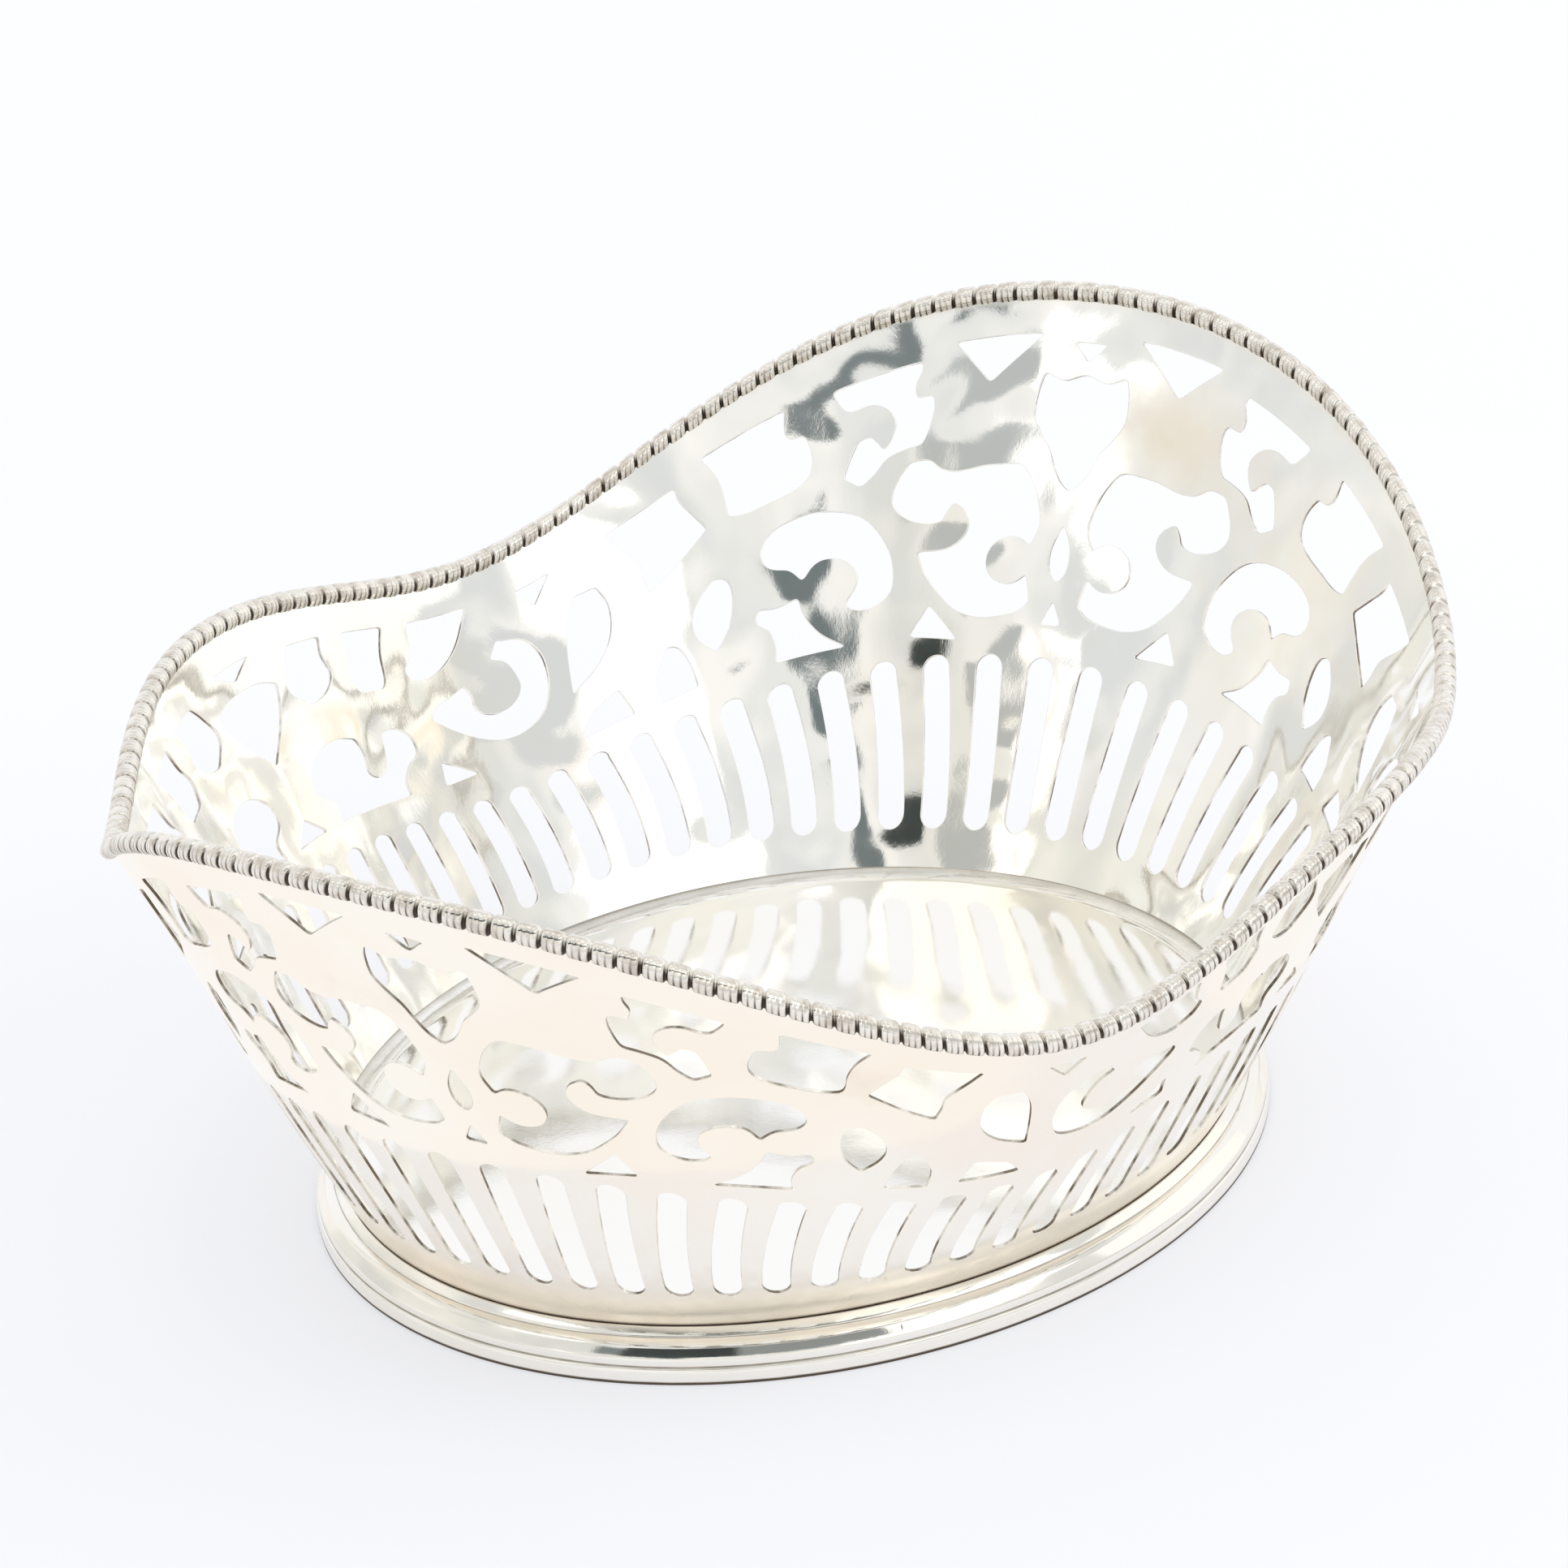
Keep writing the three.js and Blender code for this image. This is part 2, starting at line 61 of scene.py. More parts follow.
# Overall form, in millimetres: the rim's mean and its waves round the basket, and its one bent corner
RIM_RADIUS = (63.06, 8.89, 0.88, -0.83)
RIM_HEIGHT = (40.85, 6.67, 5.49, -0.36, -0.36)
LIFTED_CORNER_AT = math.radians(145.3)
LIFTED_CORNER_SPREAD = 0.472
LIFTED_CORNER_IN = 4.3
LIFTED_CORNER_UP = 4.8
BASE_HALF_LENGTH = 45.4
BASE_HALF_WIDTH = 37.2
BASE_HEIGHT = 4.45
WALL_FLARE = 0.042
WALL_OGEE = 0.175

# The pierced sheet, in millimetres but for its base edge, which is a share of the wall's height
SHEET = 0.38
EDGE_ROUND = 0.07
EDGE_INSET = EDGE_ROUND * 1.3
TOP_EDGE_DROP = 0.62
BASE_EDGE = -0.008
OUTSIDE, INSIDE, SAWN = 0, 1, 2

# The upright slots, in slot pitches and shares of the wall's height. Away from the ends they sit higher, and
# between the ends and the middles of the sides they lean.
SLOT_COUNT = 68
QUARTER = SLOT_COUNT / 4
SLOT_FOOT_WIDTH = 0.57
SLOT_HEAD_WIDTH = 0.52
SLOT_FOOT = 0.085
SLOT_HEAD = 0.38
SLOT_FOOT_RISE = 0.03
SLOT_HEAD_RISE = 0.035
SLOT_RISE_FROM, SLOT_RISE_OVER = 3, 8
SLOT_LEAN = 0.58
SLOT_LEAN_CURVE = 1.5
SLOT_FOOT_SHARE = 0.28

# Where the scrollwork strays, and by how much
STRAY_AT, STRAY_SPREAD, STRAY_TILT, STRAY_DROP, STRAY_MIDDLE = -31, 3.5, 0.9, 0.015, 0.56
FAR_STRAY_AT, FAR_STRAY_SPREAD, FAR_STRAY_SHIFT, FAR_STRAY_DROP = 2.8, 2.6, -0.12, 0.01

# The wall unrolled: one slot pitch in millimetres, and the wall's height in slot pitches
PITCH_MM = 4.9
PITCH_PER_HEIGHT = 11
AROUND = SLOT_COUNT * PITCH_MM

# Where the scrollwork's outlines turn more sharply than this, they have a corner
SHARP_TURN = math.radians(58)

# Spacing of the wall's mesh, in millimetres: along the openings, along the sheet's edges, and over the metal
OUTLINE_STEP = 0.28
EDGE_STEP = 0.65
GRID_STEP = 0.76
GRID_ROW_STEP = GRID_STEP * 0.87
GRID_CLEARANCE = 0.33
GRID_FROM_BASE, GRID_FROM_TOP = 0.5, 0.4
SLOT_ARC_STEPS = 12
SLOT_SIDE_POINTS = 28

# The wall's directions are measured over small steps along it and up it, in pitches and shares of its height
PITCH_STEP, HEIGHT_STEP = 0.05, 0.01

# Points along half the rim or the base, that lengths are measured with
CURVE_POINTS = 16384

BEAD_COUNT = 208
BEAD_RADIUS = 0.99
FLOOR_TOP = 5.0


def waves(amplitudes, angle):
    return sum(a * np.cos(2 * k * angle) for k, a in enumerate(amplitudes))


def rim_curve(angle):
    turn = (angle - LIFTED_CORNER_AT + np.pi) % (2 * np.pi) - np.pi
    bend = np.exp(-((turn / LIFTED_CORNER_SPREAD) ** 2))
    radius = waves(RIM_RADIUS, angle) - LIFTED_CORNER_IN * bend
    height = waves(RIM_HEIGHT, angle) + LIFTED_CORNER_UP * bend
    return np.stack([radius * np.cos(angle), radius * np.sin(angle), height], -1)


def base_curve(angle):
    x, y = BASE_HALF_LENGTH * np.cos(angle), BASE_HALF_WIDTH * np.sin(angle)
    return np.stack([x, y, BASE_HEIGHT + 0 * angle], -1)


def angle_tables(curve):
    """Share of each half's length against angle, from one end of the basket to the other."""
    tables = []
    for side in (1, -1):
        angle = np.linspace(0, np.pi, CURVE_POINTS)
        steps = np.linalg.norm(np.diff(curve(side * angle), axis=0), axis=1)
        length = np.concatenate([[0], np.cumsum(steps)])
        tables.append((length / length[-1], angle))
    return tables


RIM_TABLES = angle_tables(rim_curve)
BASE_TABLES = angle_tables(base_curve)


def pitches_from(pitch, at):
    """How far round the wall, the shorter way, in slot pitches."""
    return (pitch - at + SLOT_COUNT / 2) % SLOT_COUNT - SLOT_COUNT / 2


def at_pitch(curve, tables, pitch):
    turn = pitches_from(pitch, 0)
    share = np.abs(turn) / (SLOT_COUNT / 2)
    left = np.interp(share, *tables[0])
    right = -np.interp(share, *tables[1])
    return curve(np.where(turn >= 0, left, right))


def wall_point(pitch, height):
    """Middle surface of the wall, by slot pitches along it and share of its height."""
    pitch, height = np.broadcast_arrays(np.asarray(pitch, float), np.asarray(height, float))
    low = at_pitch(base_curve, BASE_TABLES, pitch)
    high = at_pitch(rim_curve, RIM_TABLES, pitch)
    swell = height * (1 - height)
    out = height + WALL_FLARE * swell + WALL_OGEE * swell * (1 - 2 * height)
    return low + (high - low) * np.stack([out, out, height], -1)


def unit(vectors):
    return vectors / np.linalg.norm(vectors, axis=-1, keepdims=True)


def wall_frame(pitch, height):
    """Unit vectors along the wall, up it and outward."""
    along = unit(wall_point(pitch + PITCH_STEP, height) - wall_point(pitch - PITCH_STEP, height))
    up = unit(wall_point(pitch, height + HEIGHT_STEP) - wall_point(pitch, height - HEIGHT_STEP))
    return along, up, unit(np.cross(along, up))


def ball_arc(pitch, height, radius, start, end, count):
    """Points on a circle in slot pitches, from one angle in degrees to another."""
    angle = np.radians(np.linspace(start, end, count + 1))
    return [(pitch + radius * math.cos(a), height + radius * math.sin(a) / PITCH_PER_HEIGHT) for a in angle]


# Openings of the scrollwork in one quarter, as (slot pitch, share of height)
QUARTER_OPENINGS = {
    "triangle_over_flower": [(0.82, 0.935), (2.34, 0.935), (1.68, 0.858)],
    "scroll_round_ball": [
        (0.95, 0.712), (1.3, 0.714), (1.62, 0.714), (2.1, 0.709), (2.42, 0.717), (2.66, 0.737), (3.0, 0.74),
        (3.22, 0.705), (3.28, 0.677), (3.16, 0.653), (2.9, 0.634), (2.58, 0.624), (2.34, 0.626),
        (2.28, 0.642), (2.14, 0.657), (1.92, 0.638), (1.84, 0.612), (1.98, 0.588), (2.25, 0.575),
        (2.8, 0.577), (2.6, 0.534), (2.34, 0.5), (2.02, 0.47), (1.6, 0.454), (1.25, 0.452), (0.75, 0.46),
        (0.5, 0.478),
        *ball_arc(1.0, 0.549, 0.46, -145, 145, 9),
        (0.48, 0.61), (0.58, 0.655), (0.72, 0.685),
    ],
    "opening_round_hook": [
        (2.86, 0.913), (4.35, 0.908), (4.24, 0.884), (4.06, 0.861), (3.7, 0.862), (3.42, 0.846),
        (3.26, 0.816), (3.34, 0.787), (3.46, 0.772), (3.58, 0.788), (3.7, 0.804), (3.9, 0.802), (4.02, 0.777),
        (4.15, 0.742), (3.85, 0.717), (3.6, 0.735), (3.4, 0.757), (3.06, 0.766), (2.8, 0.768), (2.7, 0.792),
        (2.62, 0.831), (2.66, 0.851), (2.94, 0.851), (2.97, 0.876), (2.88, 0.895),
    ],
    "end_scroll": [
        (3.22, 0.543), (3.26, 0.514), (3.46, 0.496), (3.72, 0.49), (4.02, 0.499), (4.1, 0.511), (3.92, 0.533),
        (3.88, 0.558), (4.04, 0.583), (4.34, 0.601), (4.66, 0.601), (4.9, 0.576), (5.02, 0.592),
        (5.14, 0.605), (5.46, 0.62), (5.62, 0.638), (5.66, 0.662), (5.54, 0.685), (5.26, 0.697), (4.8, 0.698),
        (4.34, 0.687), (3.86, 0.663), (3.54, 0.628), (3.3, 0.583),
    ],
    "opening_below_scroll": [
        (4.1, 0.43), (5.45, 0.434), (5.42, 0.462), (5.55, 0.5), (5.8, 0.525), (5.75, 0.55), (5.4, 0.54),
        (5.0, 0.545), (4.9, 0.51), (4.58, 0.464),
    ],
    "triangle_over_slots": [(1.9, 0.415), (2.85, 0.428), (2.5, 0.48)],
    "opening_beside_leaf": [
        (5.18, 0.915), (6.68, 0.913), (6.43, 0.865), (6.3, 0.82), (6.22, 0.765), (5.9, 0.753), (5.5, 0.752),
        (5.06, 0.754), (4.78, 0.767), (4.7, 0.791), (4.74, 0.821), (4.86, 0.85), (5.06, 0.853), (5.18, 0.871),
    ],
    "corner_leaf_opening": [
        (7.2, 0.888), (8.6, 0.888), (8.35, 0.84), (8.0, 0.78), (7.95, 0.74), (7.85, 0.7), (7.3, 0.725),
        (6.65, 0.765), (6.95, 0.82), (7.15, 0.86),
    ],
    "corner_crescent": [
        (6.6, 0.655), (6.95, 0.62), (7.05, 0.575), (6.9, 0.535), (6.62, 0.503), (6.35, 0.54), (6.25, 0.6),
        (6.35, 0.64),
    ],
    "corner_drop": [(7.05, 0.447), (7.85, 0.447), (7.9, 0.51), (7.65, 0.565), (7.4, 0.55), (7.15, 0.49)],
    "corner_wedge": [(8.45, 0.455), (9.7, 0.46), (9.4, 0.505), (8.75, 0.53)],
    "corner_teardrop": [
        (9.4, 0.8), (8.9, 0.79), (8.7, 0.73), (8.75, 0.66), (9.1, 0.61), (9.7, 0.575), (9.68, 0.66),
        (9.6, 0.74),
    ],
    "triangle_under_border": [(9.75, 0.888), (10.5, 0.888), (10.15, 0.83)],
    "side_scroll": [
        (11.07, 0.795), (10.55, 0.77), (10.25, 0.72), (10.16, 0.667), (10.2, 0.616), (10.4, 0.57),
        (10.9, 0.545), (11.4, 0.546), (11.93, 0.57), (12.4, 0.603), (12.9, 0.648), (12.8, 0.674),
        (12.37, 0.693), (11.98, 0.712),
        *ball_arc(11.32, 0.665, 0.56, 375, 165, 7),
        (10.98, 0.735), (11.28, 0.755),
    ],
    "opening_beside_hook": [
        (12.8, 0.905), (11.5, 0.905), (11.9, 0.82), (12.3, 0.775), (12.7, 0.755), (13.05, 0.757),
        (13.15, 0.785), (12.95, 0.82), (12.85, 0.87),
    ],
    "opening_between_hooks": [
        (14.25, 0.905), (13.35, 0.905), (13.55, 0.84), (13.65, 0.77), (13.75, 0.752), (14.3, 0.752),
        (14.45, 0.8), (14.3, 0.85),
    ],
    "opening_behind_hook": [
        (15.55, 0.9), (14.75, 0.905), (14.85, 0.86), (14.8, 0.81), (15.1, 0.77), (15.5, 0.755), (15.9, 0.8),
        (15.75, 0.86),
    ],
    "opening_round_drop": [
        (16.0, 0.478), (13.95, 0.48), (14.0, 0.512), (13.75, 0.555), (13.5, 0.575), (13.52, 0.62),
        (13.85, 0.65), (14.2, 0.645), (14.25, 0.6), (14.38, 0.555), (14.6, 0.542), (14.8, 0.56),
        (14.75, 0.61), (14.85, 0.65), (15.3, 0.66), (15.9, 0.645), (16.3, 0.6), (16.3, 0.555), (15.95, 0.525),
    ],
    "side_triangle": [(13.05, 0.478), (13.0, 0.54), (12.15, 0.485)],
}

# Openings that lie across the middle of an end or of a side: the half on one side of that middle
END_OPENINGS = {
    "border_notch": [(0, 0.886), (0.28, 0.92)],
    "opening_between_flowers": [
        (0, 0.668), (0.2, 0.685), (0.35, 0.71), (0.48, 0.74), (0.66, 0.765), (0.82, 0.795), (0.8, 0.84),
        (0.72, 0.87), (0.38, 0.855), (0, 0.866),
    ],
    "lens_in_trunk": [(0, 0.512), (0.16, 0.53), (0.18, 0.57), (0, 0.612)],
    "triangle_in_trunk": [(0, 0.482), (0.22, 0.44)],
}
SIDE_OPENINGS = {
    "side_border_notch": [(0, 0.872), (0.55, 0.91)],
    "side_shield": [(0, 0.665), (0.5, 0.73), (0.8, 0.79), (0.9, 0.83), (0.5, 0.845), (0, 0.848)],
    "side_gable": [(0, 0.53), (0.5, 0.478)],
}


def across_axis(half, axis):
    """A whole outline from the half that lies on one side of an axis of the basket."""
    right = [(axis + p, v) for p, v in half]
    left = [(axis - p, v) for p, v in half if p > 0]
    return right + left[::-1]


def in_four_quarters(outline):
    end = SLOT_COUNT / 2
    return [
        outline,
        [(-p, v) for p, v in outline],
        [(end - p, v) for p, v in outline],
        [(p - end, v) for p, v in outline],
    ]


def as_sawn(pitch, height):
    """Where the saw went: the scrollwork was laid out by hand, and strays a little at both ends."""
    near = math.exp(-((pitches_from(pitch, STRAY_AT) / STRAY_SPREAD) ** 2))
    far = math.exp(-((pitches_from(pitch, FAR_STRAY_AT) / FAR_STRAY_SPREAD) ** 2))
    return (pitch + near * STRAY_TILT * (height - STRAY_MIDDLE) + far * FAR_STRAY_SHIFT,
            height - near * STRAY_DROP - far * FAR_STRAY_DROP)


def scroll_outlines():
    outlines = []
    for outline in QUARTER_OPENINGS.values():
        outlines += in_four_quarters(outline)
    for half in END_OPENINGS.values():
        outlines += [across_axis(half, 0), across_axis(half, SLOT_COUNT / 2)]
    for half in SIDE_OPENINGS.values():
        outlines += [across_axis(half, QUARTER), across_axis(half, -QUARTER)]
    return [[as_sawn(p, v) for p, v in outline] for outline in outlines]


def to_flat(points):
    """Slot pitch and height share to near-true millimetres on the unrolled wall."""
    return np.asarray(points, float) * [PITCH_MM, PITCH_MM * PITCH_PER_HEIGHT]


def from_flat(points):
    return np.asarray(points, float) / [PITCH_MM, PITCH_MM * PITCH_PER_HEIGHT]


def turning(points):
    before = points - np.roll(points, 1, 0)
    after = np.roll(points, -1, 0) - points
    cross = before[:, 0] * after[:, 1] - before[:, 1] * after[:, 0]
    return np.arctan2(cross, (before * after).sum(1))


def counter_clockwise(points):
    following = np.roll(points, -1, 0)
    area = (points[:, 0] * following[:, 1] - points[:, 1] * following[:, 0]).sum()
    return points if area > 0 else points[::-1]


def smooth_outline(points):
    """A saw-cut outline: a smooth curve through the points, with eased corners where they turn sharply."""
    points = counter_clockwise(points)
    sharp = np.abs(turning(points)) > SHARP_TURN
    count = len(points)
    out = []
    for i in range(count):
        p0, p1, p2, p3 = (points[(i + k) % count] for k in (-1, 0, 1, 2))
        length = np.linalg.norm(p2 - p1)
        start = p2 - p1 if sharp[i] else unit(p2 - p0) * length
        end = p2 - p1 if sharp[(i + 1) % count] else unit(p3 - p1) * length
        steps = max(2, int(round(length / OUTLINE_STEP)))
        t = np.arange(steps)[:, None] / steps
        out.append((2 * t**3 - 3 * t**2 + 1) * p1 + (t**3 - 2 * t**2 + t) * start
                   + (3 * t**2 - 2 * t**3) * p2 + (t**3 - t**2) * end)
    curve = np.concatenate(out)
    for _ in range(2):
        curve = curve * 0.5 + (np.roll(curve, 1, 0) + np.roll(curve, -1, 0)) * 0.25
    return curve


def slot_outline(index):
    from_end = abs((index + QUARTER) % (2 * QUARTER) - QUARTER)
    t = min(1, max(0, (from_end - SLOT_RISE_FROM) / SLOT_RISE_OVER))
    rise = t * t * (3 - 2 * t)
    lean = SLOT_LEAN * math.sin(math.pi * index / QUARTER)
    foot_radius, head_radius = SLOT_FOOT_WIDTH / 2, SLOT_HEAD_WIDTH / 2
    foot = SLOT_FOOT + SLOT_FOOT_RISE * rise + foot_radius / PITCH_PER_HEIGHT
    head = SLOT_HEAD + SLOT_HEAD_RISE * rise - head_radius / PITCH_PER_HEIGHT
    top = ball_arc(index + lean * (1 - SLOT_FOOT_SHARE), head, head_radius, 0, 180, SLOT_ARC_STEPS)
    bottom = ball_arc(index - lean * SLOT_FOOT_SHARE, foot, foot_radius, 180, 360, SLOT_ARC_STEPS)
    steps = np.linspace(0, 1, SLOT_SIDE_POINTS)[1:-1]
    sides = []
    for side, shares in ((-1, steps[::-1]), (1, steps)):
        sides.append([(index + lean * (s**SLOT_LEAN_CURVE - SLOT_FOOT_SHARE)
                       + side * (foot_radius + (head_radius - foot_radius) * s),
                       foot + (head - foot) * s) for s in shares])
    return counter_clockwise(to_flat(top + sides[0] + bottom + sides[1]))


def offset_outward(loop, distance):
    """The loop moved out by a distance, into the metal round an opening."""
    before = unit(loop - np.roll(loop, 1, 0))
    after = unit(np.roll(loop, -1, 0) - loop)
    normal = unit(np.stack([before[:, 1] + after[:, 1], -before[:, 0] - after[:, 0]], -1))
    return loop + normal * distance


def inside(points, loop):
    """Which points lie inside a closed loop."""
    low, high = loop.min(0), loop.max(0)
    found = np.zeros(len(points), bool)
    near = np.nonzero(((points > low) & (points < high)).all(1))[0]
    if len(near) == 0:
        return found
    x, y = points[near, 0][:, None], points[near, 1][:, None]
    x1, y1 = loop[:, 0], loop[:, 1]
    x2, y2 = np.roll(x1, -1), np.roll(y1, -1)
    crosses = (y1 > y) != (y2 > y)
    at = x1 + (y - y1) * (x2 - x1) / np.where(y2 == y1, 1e-12, y2 - y1)
    found[near] = ((crosses & (x < at)).sum(1) % 2) == 1
    return found


def make_object(name, verts, faces):
    """A mesh from millimetre positions in the uncentred frame."""
    mesh = bpy.data.meshes.new(name)
    mesh.from_pydata(((np.asarray(verts) + CENTRE_SHIFT) * MM).tolist(), [], faces)
    mesh.shade_smooth()
    obj = bpy.data.objects.new(name, mesh)
    bpy.context.scene.collection.objects.link(obj)
    return obj


# Each point's darkening, as tarnish and as painted shade
def mark_grime_and_shade(obj, amounts):
    layer = obj.data.attributes.new("grime_and_shade", "FLOAT", "POINT")
    layer.data.foreach_set("value", amounts.astype(np.float32))


# Painted shade and tarnish on the wall's two faces: how far up from the foot the painted shade reaches, its
# most, and tarnish patches as pitch, height, the spread of each, and amount
OUTER_STAIN_AND_SHADE = (0.36, 0.5, [(-27.5, 0.8, 2.2, 0.09, 0.3), (-34.5, 0.74, 1.8, 0.08, 0.25)])
INNER_STAIN_AND_SHADE = (0.03, 0.5, [(-1.7, 0.8, 1.3, 0.09, 0.5), (-5.5, 0.7, 4.0, 0.3, 0.32)])
SHADE_FADE = 1.4

# Darkening under the wire: where it starts and what it grows over, as shares of the wall's height, and its most
UNDER_WIRE_FROM, UNDER_WIRE_OVER, UNDER_WIRE_MOST = 0.965, 0.02, 0.3


def stain_and_shade(pitch_height, reach, most, patches):
    """How dark each point of the wall is painted: painted shade fading up from the foot, darkening under the
    wire, and tarnish patches.
    """
    pitch, height = pitch_height.T
    # Painted shade, darker towards the foot
    shade_over_foot = np.clip(1 - height / reach, 0, 1) ** SHADE_FADE * most
    under_wire = np.clip((height - UNDER_WIRE_FROM) / UNDER_WIRE_OVER, 0, 1) * UNDER_WIRE_MOST
    amount = shade_over_foot + under_wire
    for at, up, wide, tall, strength in patches:
        away = pitches_from(pitch, at) / wide
        amount = amount + strength * np.exp(-(away ** 2) - ((height - up) / tall) ** 2)
    return amount


def wrap_copies(loop):
    """A loop and its copies one turn either way."""
    turn = np.array([AROUND, 0])
    return [loop, loop + turn, loop - turn]


def level_loop(y):
    """The unrolled wall's edge at one height."""
    count = int(AROUND / EDGE_STEP)
    x = (np.arange(count) / count) * AROUND - AROUND / 2
    return np.stack([x, np.full(count, y)], -1)


def grid_over_metal(openings, base, top):
    """Points spread over the metal, clear of the openings and of the sheet's edges."""
    count = int(AROUND / GRID_STEP)
    grid = []
    for k, y in enumerate(np.arange(base + GRID_FROM_BASE, top - GRID_FROM_TOP, GRID_ROW_STEP)):
        x = (np.arange(count) + 0.5 * (k % 2)) / count * AROUND - AROUND / 2
        grid.append(np.stack([x, np.full(count, y)], -1))
    grid = np.concatenate(grid)
    copies = [copy for loop in openings for copy in wrap_copies(loop)]
    keep = np.ones(len(grid), bool)
    for copy in copies:
        keep &= ~inside(grid, copy)
    outline_points = np.concatenate(copies)
    tree = KDTree(len(outline_points))
    for i, (x, y) in enumerate(outline_points.tolist()):
        tree.insert((x, y, 0), i)
    tree.balance()
    return np.array([p for p in grid[keep].tolist() if tree.find((*p, 0))[2] > GRID_CLEARANCE])


def triangles_over_metal(loops, grid):
    """Triangles between the loops and the grid's points, where there is metal.

    The openings' loops come first, then those of the sheet's top and base. The wall is laid out as a flat
    ring, so that the triangles close round the basket.
    """
    flat = np.concatenate(loops + [grid])
    base_radius = AROUND / (2 * np.pi) * 0.95
    angle = flat[:, 0] / AROUND * 2 * np.pi
    radius = base_radius + flat[:, 1]
    ring = np.stack([radius * np.cos(angle), radius * np.sin(angle)], -1)
    edges, ring_loops, at = [], [], 0
    for loop in loops:
        n = len(loop)
        ring_loops.append(ring[at:at + n])
        edges += [(at + i, at + (i + 1) % n) for i in range(n)]
        at += n
    verts, _, faces, origin, _, _ = delaunay_2d_cdt([Vector(p) for p in ring.tolist()], edges, [], 0, 1e-6)
    if len(verts) != len(flat):
        raise RuntimeError("openings cross each other")
    back = np.array([ids[0] for ids in origin])
    tri = back[np.array([f[:3] for f in faces])]
    middle = ring[tri].mean(1)
    top_loop, base_loop = ring_loops[-2:]
    keep = inside(middle, top_loop) & ~inside(middle, base_loop)
    for loop in ring_loops[:-2]:
        keep &= ~inside(middle, loop)
    tri = tri[keep]
    a, b, c = (ring[tri[:, k]] for k in range(3))
    turn = (b - a)[:, 0] * (c - a)[:, 1] - (b - a)[:, 1] * (c - a)[:, 0]
    tri[turn < 0] = tri[turn < 0][:, ::-1]
    return tri


def face_outward(mesh, point_normal):
    """Turn the faces that look the wrong way, judged by the points' normals, and shade by those normals."""
    index = np.array([l.vertex_index for l in mesh.loops])
    poly_normal = np.array([p.normal for p in mesh.polygons])
    total = np.array([p.loop_total for p in mesh.polygons])
    wanted = np.zeros((len(total), 3))
    np.add.at(wanted, np.repeat(np.arange(len(total)), total), point_normal[index])
    for p in np.nonzero((poly_normal * wanted).sum(1) < 0)[0]:
        mesh.polygons[int(p)].flip()
    mesh.update()
    index = np.array([l.vertex_index for l in mesh.loops])
    mesh.normals_split_custom_set(point_normal[index].tolist())


def pierced_wall():
    openings = [smooth_outline(to_flat(o)) for o in scroll_outlines()]
    openings += [slot_outline(i) for i in range(SLOT_COUNT)]
    slots = np.arange(SLOT_COUNT)
    # The wall's slant height near the rim, from its top tenth
    slant = np.linalg.norm(wall_point(slots, 1.0) - wall_point(slots, 0.9), axis=1) * 10
    top, base = (to_flat([(0, v)])[0][1] for v in (1 - TOP_EDGE_DROP / slant.mean(), BASE_EDGE))

    # Every edge has one loop where it is cut and one, a little into the metal, where its rounding begins
    cut_loops = openings + [level_loop(top), level_loop(base)]
    inset = [offset_outward(o, EDGE_INSET) for o in openings]
    loops = inset + [level_loop(top - EDGE_ROUND), level_loop(base + EDGE_ROUND)]
    grid = grid_over_metal(inset, base, top)
    tri = triangles_over_metal(loops, grid)

    # Bend into place and give thickness
    pv, cut_pv = from_flat(np.concatenate(loops + [grid])), from_flat(np.concatenate(cut_loops))
    middle, outward = wall_point(*pv.T), wall_frame(*pv.T)[2]
    cut_middle, cut_outward = wall_point(*cut_pv.T), wall_frame(*cut_pv.T)[2]
    cut_normal = unit(cut_middle - middle[:len(cut_pv)])
    positions = np.concatenate([
        middle + outward * SHEET / 2,
        middle - outward * SHEET / 2,
        cut_middle + cut_outward * (SHEET / 2 - EDGE_ROUND),
        cut_middle + cut_outward * (-SHEET / 2 + EDGE_ROUND),
    ])
    point_normal = np.concatenate([outward, -outward, cut_normal, cut_normal])
    outer, inner, cut_outer, cut_inner = 0, len(pv), 2 * len(pv), 2 * len(pv) + len(cut_pv)

    # The flat ring's pitch runs counter-clockwise and its height outward: its upper side is the wall's inner one
    faces = np.concatenate([tri[:, ::-1] + outer, tri + inner]).tolist()
    finish = [OUTSIDE] * len(tri) + [INSIDE] * len(tri)
    start = 0
    for loop in loops:
        n = len(loop)
        a = start + np.arange(n)
        b = start + (np.arange(n) + 1) % n
        start += n
        for here, there, kind in ((outer, cut_outer, OUTSIDE), (cut_outer, cut_inner, SAWN),
                                  (cut_inner, inner, INSIDE)):
            faces += np.stack([a + here, b + here, b + there, a + there], -1).tolist()
            finish += [kind] * n
    obj = make_object("wall", positions, faces)
    obj.data.polygons.foreach_set("material_index", finish)
    face_outward(obj.data, point_normal)
    # Each face is painted darker towards the foot as shade, and darker under the wire and in tarnish patches
    mark_grime_and_shade(obj, np.concatenate([stain_and_shade(where, *face_stain_and_shade) for where in (pv, cut_pv)
                                    for face_stain_and_shade in (OUTER_STAIN_AND_SHADE, INNER_STAIN_AND_SHADE)]))
    return obj


def ring_mesh(name, rows, grime_and_shade):
    """A closed ring from rows of section points, one row per station round the basket.

    The darkening says how dark each point is painted: tarnish the polishing cloth left in the hollows, painted
    shade on the beads' undersides and outsides, and painted contact shadow along the foot's bottom edge.
    """
    rows = np.asarray(rows)
    count, sides = rows.shape[:2]
    i, j = np.meshgrid(np.arange(count), np.arange(sides), indexing="ij")
    ni, nj = (i + 1) % count, (j + 1) % sides
    quads = np.stack([i * sides + j, ni * sides + j, ni * sides + nj, i * sides + nj], -1)
    obj = make_object(name, rows.reshape(-1, 3), quads.reshape(-1, 4).tolist())
    mark_grime_and_shade(obj, np.broadcast_to(grime_and_shade, (count, sides)).ravel())
    return obj


